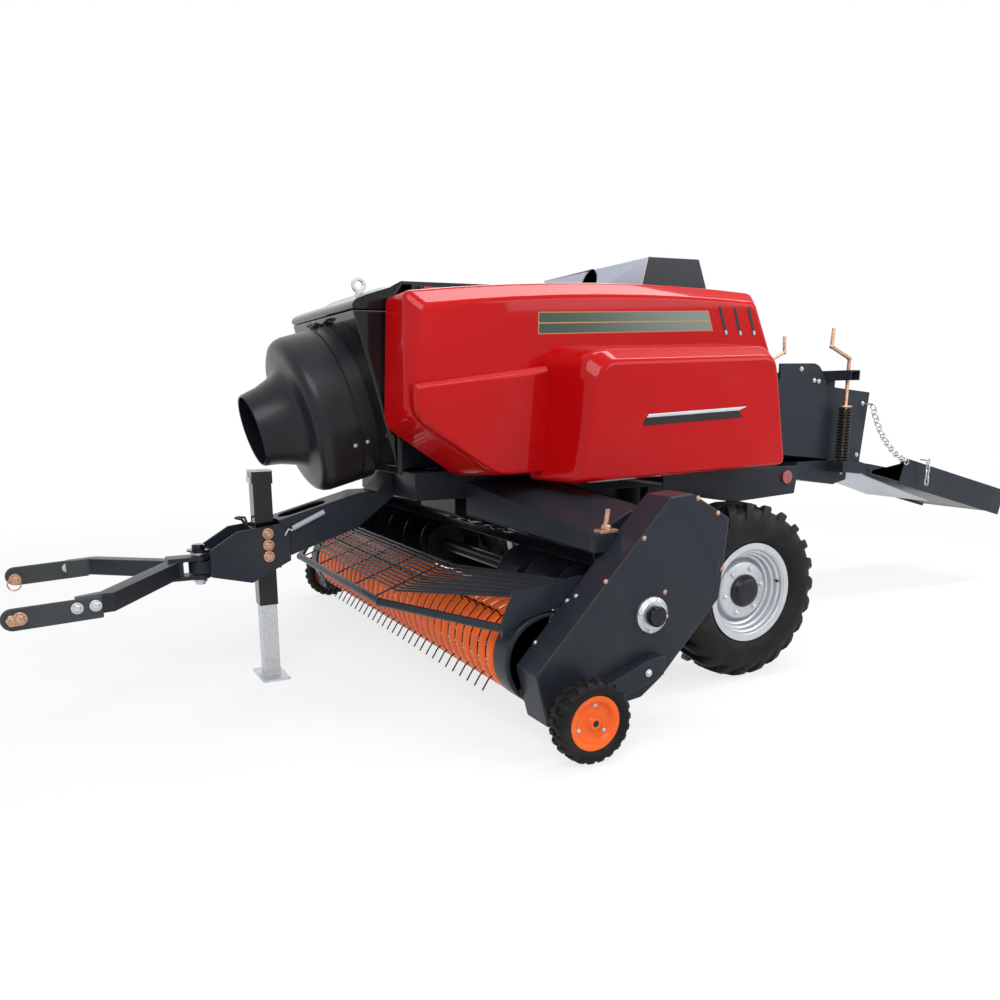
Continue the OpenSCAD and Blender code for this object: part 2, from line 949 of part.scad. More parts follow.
module auger_shaft() {
    end = shield_out + 25;
    color(anthracite)
        across(auger_x, auger_z) {
            translate([0, 0, -end])
                cylinder(d = auger_shaft_d, h = 2 * end);
            for (s = [-1, 1])
                translate([0, 0, s * (auger_in - 8) - 6])
                    cylinder(r = auger_r * 0.75, h = 12);
        }
}

// Flight of the left auger, a thin wedge of the circle twisted along the shaft
module flight_left() {
    flight_l = auger_out - auger_in;
    flight_t = 7;
    wedge = 360 * flight_t / auger_pitch;
    turn = 360 * flight_l / auger_pitch;
    root_r = auger_shaft_d / 2 + seat_gap;
    color(anthracite)
        across(auger_x, auger_z)
            translate([0, 0, auger_in])
                linear_extrude(height = flight_l, twist = turn, slices = ceil(turn / 7.5), $fn = 4)
                    polygon([
                        root_r * [1, 0], auger_r * [1, 0], auger_r * [cos(wedge), sin(wedge)],
                        root_r * [cos(wedge), sin(wedge)]
                    ]);
}

// The right flight is of the other hand, so that both carry to the middle
module flight_right() {
    mirror([0, 1, 0])
        flight_left();
}

beam_x = 885;
beam_z = 140;
beam_side = 50;

shield_line = [
    [719, 865], [621, 873], [445, 773], [475, 476], [734, 203], [820, 142], [1214, 94], [1263, 288]
];
reel_shaft_d = 40;

module shield_left() {
    ring_in = bands_half + run_gap;
    color(anthracite)
        difference() {
            union() {
                upright(shield_in, shield_out)
                    polygon(shield_line);
                across(reel_x, reel_z)
                    translate([0, 0, ring_in])
                        difference() {
                            cylinder(r = band_r + 3, h = shield_in - ring_in);
                            translate([0, 0, -1])
                                cylinder(r = band_r - 22, h = shield_in - ring_in + 1);
                        }
                across(auger_x, auger_z)
                    translate([0, 0, shield_out])
                        cylinder(d = auger_shaft_d + 40, h = 18);
            }
            across(auger_x, auger_z)
                cylinder(d = auger_shaft_d + 2 * fit_gap, h = 2 * shield_out);
            across(reel_x, reel_z)
                cylinder(d = reel_shaft_d + 2 * fit_gap, h = shield_in + 60);
        }
}

module shield_right() {
    mirror([0, 1, 0])
        shield_left();
}

module pickup_beam() {
    color(anthracite)
        translate([beam_x - beam_side / 2, -shield_in, beam_z - beam_side / 2])
            cube([beam_side, 2 * shield_in, beam_side]);
}

// One band: a crowned strip round the reel, with a tail to the beam behind
module stripper_band() {
    crown = 6;
    half = band_w / 2;
    band_from = -90;
    band_to = 125;
    tail_l = reel_x - beam_x - beam_side / 2;
    rotate([0, 0, -band_to])
        rotate_extrude(angle = band_to - band_from)
            polygon([
                [band_r - band_t - crown, -half], [band_r - crown, -half], [band_r, -half + 12],
                [band_r, half - 12], [band_r - crown, half], [band_r - band_t - crown, half]
            ]);
    rotate([0, 0, -band_from])
        translate([band_r - band_t - crown, 0, -half + 12])
            cube([band_t, tail_l, band_w - 24]);
}

module stripper_bands() {
    color(orange)
        for (i = [0 : band_count - 1])
            translate([0, (i - (band_count - 1) / 2) * band_pitch, 0])
                across(reel_x, reel_z)
                    stripper_band();
}

// Front tube and rods, bent back at both ends, tied by cross wires and carried by end plates
module windguard() {
    bend_y = 580;
    tube_d = 32;
    tube_z = 420;
    rod_d = 9;
    wire_d = 7;
    rods = 7;
    tube_front = 1533;
    tube_back = 243;
    rod_front = 1455;
    rod_step = 40;
    plate_t = 12;
    end_y = shield_in - plate_t / 2 - 0.5;
    ring_r = band_r + 3;
    function rod_mid(i) = [rod_front - i * rod_step, 458 + i * 14];
    function rod_end(i) = [rod_front - 215 - i * rod_step * 0.95, 532 + i * 5];
    wire_slope = (rod_mid(1).y - rod_mid(0).y) / rod_step;
    wire_from = rod_mid(0).y - (tube_front - rod_front) * wire_slope;
    last_mid = rod_mid(rods - 1);
    last_end = rod_end(rods - 1);
    color(anthracite) {
        bent_bar([
            [tube_front - tube_back, -end_y, tube_z], [tube_front, -bend_y, tube_z],
            [tube_front, bend_y, tube_z], [tube_front - tube_back, end_y, tube_z]
        ], tube_d, 1.12);
        for (i = [0 : rods - 1])
            bent_bar([
                [rod_end(i).x, -end_y, rod_end(i).y], [rod_mid(i).x, -bend_y, rod_mid(i).y],
                [rod_mid(i).x, bend_y, rod_mid(i).y], [rod_end(i).x, end_y, rod_end(i).y]
            ], rod_d, 1.12);
        for (y = [-520, -260, 0, 260, 520])
            bar([tube_front, y, wire_from], [last_mid.x - 14, y, last_mid.y + 14 * wire_slope], wire_d);
        both_sides()
            upright(shield_in - plate_t, shield_in)
                polygon([
                    [tube_front - tube_back + 24, tube_z - 24], [tube_front - tube_back + 24, tube_z + 24],
                    rod_end(0) + [25, 22], last_end + [-20, 22], [900, 560], [900, reel_z + ring_r + 13],
                    [reel_x - 30, reel_z + ring_r + 13], [reel_x + 100, reel_z + ring_r - 12],
                    [reel_x + 160, tube_z - 20]
                ]);
    }
}

// Arm under each shield, with the pin of its gauge wheel
module gauge_arms() {
    gauge_z = gauge_d / 2;
    color(anthracite)
        both_sides() {
            upright(shield_out, shield_out + arm_w)
                polygon([
                    [760, 235], [760, 305], [830, 300], [gauge_x + 20, gauge_z + 34], [gauge_x + 34, gauge_z],
                    [gauge_x + 20, gauge_z - 34]
                ]);
            across(gauge_x, gauge_z)
                translate([0, 0, shield_out])
                    cylinder(d = gauge_pin_d, h = gauge_in + gauge_w - shield_out - 8);
        }
}

// Shaft, end discs and tine bars, with a row of bent tines on each bar
module tine_reel() {
    bar_side = 30;
    bar_r = 85;
    half = bands_half - 20;
    shaft_half = shield_in + 50;
    knee = tine_r - 48;
    color(anthracite)
        across(reel_x, reel_z) {
            translate([0, 0, -shaft_half])
                cylinder(d = reel_shaft_d, h = 2 * shaft_half);
            for (s = [-1, 1])
                translate([0, 0, s * (half - 6) - 6])
                    cylinder(r = bar_r + 35, h = 12);
            for (b = [0 : tine_bars - 1])
                rotate([0, 0, b * 360 / tine_bars + 35]) {
                    translate([bar_r - bar_side / 2, -bar_side / 2, -half])
                        cube([bar_side, bar_side, 2 * half]);
                    for (i = [0 : band_count - 2])
                        translate([bar_r, 0, (i - (band_count - 2) / 2) * band_pitch]) {
                            rotate([0, 90, 0])
                                cylinder(d = tine_d, h = knee - bar_r + 2, $fn = 6);
                            translate([knee - bar_r, 0, 0])
                                rotate([0, 90, 22])
                                    cylinder(d = tine_d, h = 48, $fn = 6);
                        }
                }
        }
}

module gauge_tyre_left() {
    w = gauge_w / 2;
    r = gauge_d / 2;
    color(black)
        across(gauge_x, r)
            translate([0, 0, gauge_in + w])
                rotate_extrude()
                    polygon([
                        [r * 0.66, -w * 0.7], [r * 0.8, -w], [r * 0.94, -w * 0.9], [r, -w * 0.62],
                        [r, w * 0.62], [r * 0.94, w * 0.9], [r * 0.8, w], [r * 0.66, w * 0.7]
                    ]);
}

module gauge_disc_left() {
    w = gauge_w / 2;
    r = gauge_d / 2 * 0.66 - seat_gap;
    bore = gauge_pin_d / 2 + fit_gap;
    boss = gauge_pin_d / 2 + 14;
    color(orange)
        across(gauge_x, gauge_d / 2)
            translate([0, 0, gauge_in + w])
                rotate_extrude()
                    polygon([
                        [bore, -w + 4], [boss, -w + 4], [boss, w * 0.1], [r * 0.7, w * 0.1],
                        [r * 0.85, w * 0.55], [r - 6, w * 0.55], [r - 6, -w * 0.7], [r, -w * 0.7],
                        [r, w * 0.75], [r * 0.82, w * 0.75], [r * 0.67, w * 0.3], [boss, w * 0.3],
                        [boss, w * 0.8], [bore, w * 0.8]
                    ]);
}

module gauge_tyre_right() {
    mirror([0, 1, 0])
        gauge_tyre_left();
}

module gauge_disc_right() {
    mirror([0, 1, 0])
        gauge_disc_left();
}

// Y-shaped fork of box arms round the pivot, with a tow plate bolted inside each arm's end
module tow_fork() {
    cheek_h = 18;
    head_x = pivot_x + 85;
    bend = [2520, tow_spacing / 2 - 42];
    arm_h = 70;
    color(anthracite)
        difference() {
            union() {
                for (z = [pivot_z + tongue_h / 2 + 5, pivot_z - tongue_h / 2 - 5 - cheek_h]) {
                    translate([pivot_x, 0, z])
                        cylinder(r = 45, h = cheek_h);
                    translate([pivot_x, -45, z])
                        cube([head_x - pivot_x + 30, 90, cheek_h]);
                }
                translate([head_x - 15, -45, pivot_z - tongue_h / 2 - 5 - cheek_h])
                    cube([60, 90, tongue_h + 10 + 2 * cheek_h]);
                both_sides() {
                    hull() {
                        translate([head_x, 0, pivot_z - arm_h / 2])
                            cube([50, 44, arm_h]);
                        translate([bend.x - 30, bend.y - 20, (pivot_z + tow_z) / 2 - arm_h / 2])
                            cube([40, 55, arm_h]);
                    }
                    hull() {
                        translate([bend.x - 30, bend.y - 20, (pivot_z + tow_z) / 2 - arm_h / 2])
                            cube([40, 55, arm_h]);
                        translate([bend.x + 90, bend.y, (pivot_z + tow_z) / 2 - arm_h / 2 - 6])
                            cube([10, 35, arm_h]);
                    }
                    difference() {
                        upright((tow_spacing - tow_plate_t) / 2, (tow_spacing + tow_plate_t) / 2)
                            union() {
                                translate([tow_x, tow_z])
                                    circle(40);
                                polygon([
                                    [tow_x, tow_z - 40], [tow_x, tow_z + 40], [bend.x + 10, tow_z + 55],
                                    [bend.x + 10, tow_z - 25]
                                ]);
                            }
                        across(tow_x, tow_z)
                            cylinder(d = tow_shank_d + 2 * fit_gap, h = tow_spacing);
                    }
                }
            }
            translate([pivot_x, 0, 0])
                cylinder(d = pivot_d + 2 * fit_gap, h = 1000);
        }
}

// Pins that take the tractor's lower links, pointing inwards, each with its nut outside
module tow_pins() {
    nut_h = 16;
    color(copper)
        both_sides()
            across(tow_x, tow_z)
                translate([0, 0, (tow_spacing - tow_plate_t) / 2]) {
                    translate([0, 0, -tow_pin_l])
                        cylinder(d = tow_pin_d, h = tow_pin_l);
                    translate([0, 0, -1])
                        cylinder(d = tow_shank_d, h = tow_plate_t + nut_h + 7);
                    translate([0, 0, tow_plate_t])
                        cylinder(d = tow_shank_d * 1.9, h = nut_h, $fn = 6);
                }
}

// Floor sheet, hinge barrel, arms and side panels, drawn level and then turned down by the slope
module bale_chute() {
    floor_z = -15;
    panel_top = chute_side_h - 40;
    color(anthracite)
        translate(chute_hinge)
            rotate([0, -chute_drop, 0])
                difference() {
                    union() {
                        translate([-chute_l, -chute_half, floor_z])
                            cube([chute_l - 8, 2 * chute_half, chute_t]);
                        across(0, 0)
                            translate([0, 0, -chute_half])
                                cylinder(d = chute_pin_d + 16, h = 2 * chute_half);
                        both_sides() {
                            upright(chute_half - chute_t, chute_half)
                                polygon([
                                    [-chute_front, floor_z - 10], [-chute_front + 28, panel_top - 35],
                                    [-chute_front + 15, panel_top], [-chute_l + 6, panel_top],
                                    [-chute_l, panel_top - 20], [-chute_l, floor_z - 15]
                                ]);
                            upright(chute_half - 40, chute_half - chute_t)
                                polygon([
                                    [-12, floor_z], [-12, 35], [-chute_front - 60, 60],
                                    [-chute_front - 60, floor_z]
                                ]);
                            across(chute_eye.x, chute_eye.y)
                                translate([0, 0, chute_half - chute_t])
                                    cylinder(d = eye_d, h = chain_y - chute_half + chute_t + 6);
                        }
                    }
                    across(0, 0)
                        translate([0, 0, -2 * chute_half])
                            cylinder(d = chute_pin_d + 2 * fit_gap, h = 4 * chute_half);
                }
}

main_axle();
main_frame();
bale_chamber();
knotter_deck();
knotter_hood();
top_deck();
gearbox();
front_panel();
flywheel_cover();
lifting_eye();
drawbar();
hitch_bracket();
pivot_pin();
jack_tube();
wing_left();
wing_right();
feed_trough();
side_skirts();
reflectors();
tension_frame();
spring_left();
spring_right();
tension_cranks();
chute_chains();
pto_shaft();
flywheel();
tyre_left();
rim_left();
tyre_right();
rim_right();
cover_left();
cover_right();
auger_shaft();
flight_left();
flight_right();
shield_left();
shield_right();
pickup_beam();
stripper_bands();
windguard();
gauge_arms();
tine_reel();
gauge_tyre_left();
gauge_disc_left();
gauge_tyre_right();
gauge_disc_right();
tow_fork();
tow_pins();
jack_leg();
bale_chute();
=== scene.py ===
import json
from math import cos, pi, radians, sin

import bpy
from mathutils import Matrix, Vector


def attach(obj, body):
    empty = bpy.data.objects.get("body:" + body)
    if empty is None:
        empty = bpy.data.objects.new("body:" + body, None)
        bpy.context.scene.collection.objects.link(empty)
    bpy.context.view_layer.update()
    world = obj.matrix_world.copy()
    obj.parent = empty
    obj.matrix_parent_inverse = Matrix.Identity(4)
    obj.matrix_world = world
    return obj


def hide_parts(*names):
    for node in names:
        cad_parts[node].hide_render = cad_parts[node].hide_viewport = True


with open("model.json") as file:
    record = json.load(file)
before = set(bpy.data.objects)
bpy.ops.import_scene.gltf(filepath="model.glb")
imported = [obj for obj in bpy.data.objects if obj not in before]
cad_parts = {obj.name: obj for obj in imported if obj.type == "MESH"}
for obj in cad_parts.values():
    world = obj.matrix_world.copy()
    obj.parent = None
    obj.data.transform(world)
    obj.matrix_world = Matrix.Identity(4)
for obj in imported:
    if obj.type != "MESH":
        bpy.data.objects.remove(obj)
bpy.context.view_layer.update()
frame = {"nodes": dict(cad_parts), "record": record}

NODES = frame["nodes"]
BODY_OF = {node: body for body, nodes in frame["record"]["behaviour"]["bodies"].items() for node in nodes}
SLOT_OF = {part["node"]: part["material_slot"] for part in frame["record"]["subparts"]}


# Shader values and finishes

def srgb(red, band_green_painted_reflection, blue):
    """A colour as a screen shows it, 0 to 255, as the linear values that a shader takes"""
    def linear(level):
        level /= 255
        return level / 12.92 if level <= 0.04045 else ((level + 0.055) / 1.055) ** 2.4
    return linear(red), linear(band_green_painted_reflection), linear(blue), 1.0


DUST = srgb(150, 138, 120)
# Specular levels: metal and glass, paint and plastic, and the red, which shines by its coat alone
GLOSS = 0.5
SHEEN = 0.16
RED_SHEEN = 0.02


class Wire:
    """A shader value: arithmetic on it adds Math nodes"""

    def __init__(self, finish, socket):
        self.finish = finish
        self.socket = socket

    def math(self, operation, *values):
        return self.finish.node("ShaderNodeMath", {"operation": operation}, *values)

    def __add__(self, other):
        return self.math("ADD", self, other)

    def __sub__(self, other):
        return self.math("SUBTRACT", self, other)

    def __rsub__(self, other):
        return self.math("SUBTRACT", other, self)

    def __mul__(self, other):
        return self.math("MULTIPLY", self, other)

    def __abs__(self):
        return self.math("ABSOLUTE", self)

    def step(self, low, high):
        """0 below low and 1 above high, with a soft rise between them"""
        return self.finish.node("ShaderNodeMapRange", {"interpolation_type": "SMOOTHSTEP"}, self, low, high)

    def past(self, place, soft):
        """0 before a place and 1 after it, with a soft edge"""
        return self.step(place - soft, place + soft)

    def between(self, low, high, soft):
        """1 from low to high, with soft edges"""
        return self.past(low, soft) * (1 - self.past(high, soft))


class Finish:
    """A material, or another block with shader nodes, built from shader values"""

    def __init__(self, name, block=None):
        self.block = block or bpy.data.materials.new(name)
        self.block.use_nodes = True
        self.tree = self.block.node_tree
        self.tree.nodes.clear()

    @property
    def place(self):
        """The place on the piece, in its own coordinates"""
        return self.node("ShaderNodeTexCoord", out="Object")

    def node(self, kind, settings=None, *values, out=0, **sockets):
        node = self.tree.nodes.new(kind)
        for key, value in (settings or {}).items():
            setattr(node, key, value)
        for key, value in list(enumerate(values)) + list(sockets.items()):
            socket = node.inputs[key.replace("_", " ") if isinstance(key, str) else key]
            if isinstance(value, Wire):
                self.tree.links.new(value.socket, socket)
            else:
                socket.default_value = value
        return Wire(self, node.outputs[out])

    def mix(self, amount, first, second):
        """The first colour, going over to the second as amount goes from 0 to 1"""
        node = self.tree.nodes.new("ShaderNodeMix")
        node.data_type = "RGBA"
        for index, value in ((0, amount), (6, first), (7, second)):
            if isinstance(value, Wire):
                self.tree.links.new(value.socket, node.inputs[index])
            else:
                node.inputs[index].default_value = value
        return Wire(self, node.outputs[2])

    def noise(self, scale, detail, stretch=None):
        """Clouds on the piece, stretched along the axes if wanted"""
        place = self.place
        if stretch:
            place = self.node("ShaderNodeMapping", None, place, Scale=stretch)
        return self.node("ShaderNodeTexNoise", None, Vector=place, Scale=scale, Detail=detail)

    def axes(self, source=None):
        """The X, Y and Z of a vector, by default the place on the piece"""
        split = self.tree.nodes.new("ShaderNodeSeparateXYZ")
        self.tree.links.new((source or self.place).socket, split.inputs[0])
        return [Wire(self, socket) for socket in split.outputs]

    def facing(self):
        """The way the surface faces, as X, Y and Z"""
        return self.axes(self.node("ShaderNodeNewGeometry", out="Normal"))

    def surface(self, colour, rough, grain=None, coat=(0, 0), specular=SHEEN, metallic=0):
        """The finished material, with its grain as (height, depth) and its coat as (weight, roughness)"""
        sockets = {}
        if grain:
            height, depth = grain
            sockets["Normal"] = self.node("ShaderNodeBump", None, Strength=1.0, Distance=depth, Height=height)
        return self.ended(self.node(
            "ShaderNodeBsdfPrincipled", None, Base_Color=colour, Roughness=rough, Metallic=metallic,
            Specular_IOR_Level=specular, Coat_Weight=coat[0], Coat_Roughness=coat[1], **sockets))

    def seen(self):
        """1 where a ray comes straight from the camera, or by way of a reflection or glass"""
        total, *others = [self.node("ShaderNodeLightPath", out=ray)
                          for ray in ("Is Camera Ray", "Is Glossy Ray", "Is Transmission Ray")]
        for other in others:
            total = self.node("ShaderNodeMath", {"operation": "ADD", "use_clamp": True}, total, other)
        return total

    def ended(self, shader, kind="ShaderNodeOutputMaterial"):
        """The block, with a shader led to its output"""
        end = self.tree.nodes.new(kind)
        self.tree.links.new(shader.socket, end.inputs["Surface"])
        return self.block


def steel_paint(name, colour, rough=0.34, shade=None):
    """Sprayed paint on plate: soft clouds, patches of dust, small scuffs and faint orange peel. Shade may lay
    a second colour over parts of it, which on the hood is a painted reflection"""
    finish = Finish(name)
    patches = finish.noise(2.6, 5).step(0.45, 0.8)
    scuffs = finish.noise(38, 6, (1, 1, 0.25)).step(0.66, 0.74)
    cloud = tuple(0.82 * level for level in colour[:3]) + (1.0,)
    base = finish.mix(finish.noise(5, 4), cloud, colour)
    base = finish.mix(patches * 0.04, base, DUST)
    base = finish.mix(scuffs * 0.04, base, DUST)
    if shade:
        base = shade(finish, base)
    wear = patches * 0.14 + scuffs * 0.1
    return finish.surface(base, wear + rough, (finish.noise(420, 2), 0.00012), (0.08, 0.1))


def painted_reflection_front(finish, base):
    """Painted reflection: the hood's forward-facing sheet is made pale lavender, standing in for the sky
    reflected in it
    """
    ahead = finish.facing()[0]
    # Painted reflection: faces that look forward get a pale lavender in place of a reflected sky
    return finish.mix(ahead.step(0.5, 0.7), base, srgb(196, 200, 214))


TOW_PLATE_X = 2.53
TOW_PLATE_SOFT = 0.01


def grey_plates(finish, base):
    """The tow plates at the end of the fork are a lighter grey"""
    ends = finish.axes()[0].past(TOW_PLATE_X, TOW_PLATE_SOFT)
    return finish.mix(ends, base, srgb(60, 63, 64))


STRIPE_SLOPE = 0.0401
STRIPE_MIDDLE = 1.5285
STRIPE_HALF = 0.042
STRIPE_FRONT = 0.878
STRIPE_REAR = 0.010
STRIPE_REAR_LEAN = 0.39
STRIPE_SOFT = 0.0008
STRIPE_BORDER = (0.003, 0.004)
STRIPE_FACE = (0.68, 0.70)
GOLD_HALF = 0.0022


def stripe(finish, base):
    """Two dark bands with thin gold borders along the upper face of a side cover; the bands' green carries a
    painted reflection, lighter towards the rear
    """
    x, y, z = finish.axes()
    off = abs(z + x * STRIPE_SLOPE - STRIPE_MIDDLE)
    rear = x - (z - STRIPE_MIDDLE) * STRIPE_REAR_LEAN
    on_face = abs(y).between(*STRIPE_FACE, 0.001)
    near, far = STRIPE_BORDER
    length = rear.past(STRIPE_REAR, STRIPE_SOFT) * (1 - x.past(STRIPE_FRONT, STRIPE_SOFT))
    whole = on_face * length * (1 - off.past(STRIPE_HALF, STRIPE_SOFT))
    inner = rear.step(STRIPE_REAR + near, STRIPE_REAR + far) * (
        1 - x.step(STRIPE_FRONT - far, STRIPE_FRONT - near))
    bands = whole * inner * off.between(GOLD_HALF, STRIPE_HALF - near, 0.0006)
    # Painted reflection: the bands' dark green is lighter towards the rear end and darker towards the front
    band_green_painted_reflection = finish.mix(x.step(0.0, 0.9), srgb(122, 138, 130), srgb(64, 80, 70))
    return finish.mix(bands, finish.mix(whole, base, srgb(176, 142, 96)), band_green_painted_reflection)


def red_enamel():
    """Gloss red lacquer over moulded sheet, a little deeper in long soft waves"""
    finish = Finish("red_enamel")
    waves = finish.noise(1.6, 2)
    base = finish.mix(waves, srgb(164, 5, 9), srgb(184, 9, 13))
    film = finish.noise(3.2, 5).step(0.5, 0.85)
    base = stripe(finish, finish.mix(film * 0.03, base, DUST))
    ripple = finish.noise(5, 1)
    return finish.surface(base, film * 0.08 + 0.22, (ripple, 0.0005), (0.35, 0.04), RED_SHEEN)


def black_enamel():
    """Gloss black with a faint film of dust"""
    finish = Finish("black_enamel")
    film = finish.noise(3.5, 5).step(0.45, 0.85)
    base = finish.mix(film * 0.05, srgb(14, 15, 17), DUST)
    ripple = finish.noise(7, 1)
    return finish.surface(base, film * 0.12 + 0.14, (ripple, 0.0007), (0.35, 0.03))


def black_moulding():
    """Satin plastic with a fine moulded grain"""
    finish = Finish("black_moulding")
    film = finish.noise(4, 5).step(0.45, 0.85)
    base = finish.mix(finish.noise(6, 3), srgb(24, 25, 29), srgb(34, 35, 40))
    base = finish.mix(film * 0.05, base, DUST)
    grain = finish.node("ShaderNodeTexVoronoi", None, Vector=finish.place, Scale=900.0)
    return finish.surface(base, film * 0.1 + 0.3, (grain, 0.0002), (0.15, 0.2))


def orange_paint():
    """Orange on pressed steel, rubbed bright in fine streaks where the crop slides round"""
    finish = Finish("orange_paint")
    streaks = finish.noise(60, 4, (0.2, 3, 0.2)).step(0.62, 0.76)
    patches = finish.noise(7, 4).step(0.4, 0.8)
    base = finish.mix(finish.noise(9, 3), srgb(222, 84, 24), srgb(245, 112, 40))
    base = finish.mix(patches * 0.1, base, srgb(150, 62, 28))
    base = finish.mix(streaks * 0.15, base, srgb(224, 160, 118))
    peel = finish.noise(380, 2)
    return finish.surface(base, patches * 0.15 + 0.32, (peel, 0.00015), (0.1, 0.15))


def silver_paint():
    """Metallic wheel paint with fine flakes"""
    finish = Finish("silver_paint")
    film = finish.noise(7, 5).step(0.45, 0.85)
    base = finish.mix(finish.noise(12, 3), srgb(176, 181, 186), srgb(206, 210, 214))
    base = finish.mix(film * 0.2, base, DUST)
    flake = finish.noise(700, 1)
    return finish.surface(base, film * 0.2 + 0.34, (flake, 0.0001), specular=GLOSS, metallic=0.55)


def zinc_plate(name="zinc_plate", dark=(174, 178, 182), light=(206, 210, 214)):
    """Zinc with its crystal spangle"""
    finish = Finish(name)
    spangle = finish.node("ShaderNodeTexVoronoi", {"feature": "F1"}, Vector=finish.place, Scale=130.0)
    film = finish.noise(14, 5).step(0.45, 0.85)
    base = finish.mix(spangle * 1.4, srgb(*dark), srgb(*light))
    base = finish.mix(film * 0.2, base, DUST)
    return finish.surface(base, film * 0.2 + spangle * 0.15 + 0.28, specular=GLOSS, metallic=0.8)


def tyre_rubber():
    """Black rubber, dusty in patches, with a fine skin"""
    finish = Finish("tyre_rubber")
    patches = finish.noise(9, 6).step(0.4, 0.8)
    base = finish.mix(finish.noise(20, 3), srgb(13, 13, 14), srgb(24, 24, 25))
    base = finish.mix(patches * 0.05, base, DUST)
    skin = finish.noise(260, 4)
    return finish.surface(base, patches * 0.12 + 0.55, (skin, 0.0006))


PRISMS = 1250


def red_lens():
    """Moulded lens with a grid of small prisms"""
    finish = Finish("red_lens")
    x, _, z = finish.axes()
    across = x * PRISMS
    up = z * PRISMS
    prisms = across.math("SINE", across) * up.math("SINE", up)
    base = finish.mix(prisms * 0.5 + 0.5, srgb(110, 8, 12), srgb(190, 16, 20))
    return finish.surface(base, 0.12, (prisms, 0.0006), (1.0, 0.02), GLOSS)


ANTHRACITE = srgb(35, 41, 49)
PALE_SHEET = steel_paint("pale_sheet_paint", srgb(176, 182, 192), 0.3)
SPRING_STEEL = steel_paint("spring_steel_black", srgb(20, 21, 23))
FINISH_OF = {
    "anthracite": steel_paint("anthracite_paint", ANTHRACITE),
    "black_paint": black_enamel(),
    "black_plastic": black_moulding(),
    "red": red_enamel(),
    "orange": orange_paint(),
    "silver": silver_paint(),
    "galvanised": zinc_plate(),
    "copper": zinc_plate("copper_zinc_plate", (150, 108, 86), (204, 164, 140)),
    "tyre": tyre_rubber(),
    "reflector": red_lens(),
    "spring_steel": SPRING_STEEL,
}
OWN_FINISH = {
    # The hood's paint carries a painted reflection on its forward-facing sheet
    "knotter_hood": steel_paint("hood_paint_painted_reflection", ANTHRACITE, shade=painted_reflection_front),
    "tow_fork": steel_paint("fork_paint", ANTHRACITE, shade=grey_plates),
}


# Modelling by hand: primitives, edits and modifiers

def only(*pieces):
    """Select these objects alone and make the first one active"""
    bpy.ops.object.select_all(action="DESELECT")
    for piece in pieces:
        piece.select_set(True)
    bpy.context.view_layer.objects.active = pieces[0]


def started(name):
    """The object that was just made, under its name"""
    piece = bpy.context.object
    piece.name = name
    piece.data.name = name
    return piece


def edited(piece, *steps):
    """Run edit-mode operators, each given as (operator, settings), on the current selection"""
    only(piece)
    bpy.ops.object.mode_set(mode="EDIT")
    for operator, settings in steps:
        operator(**settings)
    bpy.ops.object.mode_set(mode="OBJECT")
    return piece


def all_edited(piece, *steps):
    return edited(piece, (bpy.ops.mesh.select_all, {"action": "SELECT"}), *steps)


def modified(piece, kind, **settings):
    """Apply one modifier"""
    only(piece)
    modifier = piece.modifiers.new(kind.lower(), kind)
    for key, value in settings.items():
        setattr(modifier, key, value)
    bpy.ops.object.modifier_apply(modifier=modifier.name)
    return piece


def rounded(piece, width, segments=2):
    """Bevel every sharp edge, and smooth the shading over it"""
    modified(piece, "BEVEL", width=width, segments=segments, limit_method="ANGLE", angle_limit=radians(25),
             use_clamp_overlap=False)
    return smoothed(piece)


def smoothed(piece, angle=40):
    """Smooth shading, broken at edges sharper than an angle"""
    only(piece)
    bpy.ops.object.shade_smooth_by_angle(angle=radians(angle))
    return modified(piece, "WEIGHTED_NORMAL", keep_sharp=True, weight=80)


def painted(piece, material):
    piece.data.materials.clear()
    piece.data.materials.append(material)


def fitted(piece, body, slot, material=None, nodes=()):
    """Give a finished piece its paint, the body it rides on and the nodes it stands for"""
    painted(piece, material or FINISH_OF[slot])
    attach(piece, body)
    if nodes:
        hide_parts(*nodes)


def dressed(node, width):
    """A copy of a node with its doubles merged and its sharp edges broken, in the node's finish"""
    only(NODES[node])
    bpy.ops.object.duplicate()
    piece = started(node + "_finished")
    for key in list(piece.keys()):
        del piece[key]
    all_edited(piece, (bpy.ops.mesh.remove_doubles, {"threshold": 1e-5}))
    if width:
        all_edited(piece, (bpy.ops.mesh.dissolve_limited, {"angle_limit": radians(0.4)}))
        rounded(piece, width)
    else:
        smoothed(piece)
    fitted(piece, BODY_OF[node], SLOT_OF[node], OWN_FINISH.get(node), [node])


def skinned(name, rings, ends="both"):
    """A skin through rings of equally many points: a circle put on the first ring, extruded to each next one.
    Its ends are both closed, the last one is closed, or the last ring meets the first one"""
    rings = [[Vector(point) for point in ring] for ring in rings]
    bpy.ops.mesh.primitive_circle_add(vertices=len(rings[0]), fill_type="NOTHING")
    piece = started(name)
    for vertex, point in zip(piece.data.vertices, rings[0]):
        vertex.co = point
    steps = [(bpy.ops.mesh.select_all, {"action": "SELECT"})]
    for near, far in zip(rings, rings[1:]):
        edited(piece, *steps, (bpy.ops.mesh.extrude_region_move, {}))
        steps = []
        for vertex in piece.data.vertices:
            if vertex.select:
                vertex.co = min(zip(near, far), key=lambda pair: (pair[0] - vertex.co).length_squared)[1]
    if ends == "last":
        edited(piece, (bpy.ops.mesh.edge_face_add, {}))
    if ends == "both":
        all_edited(piece, (bpy.ops.mesh.fill_holes, {"sides": 0}))
    if ends == "meet":
        all_edited(piece, (bpy.ops.mesh.remove_doubles, {"threshold": 1e-5}))
    return all_edited(piece, (bpy.ops.mesh.normals_make_consistent, {"inside": False}))


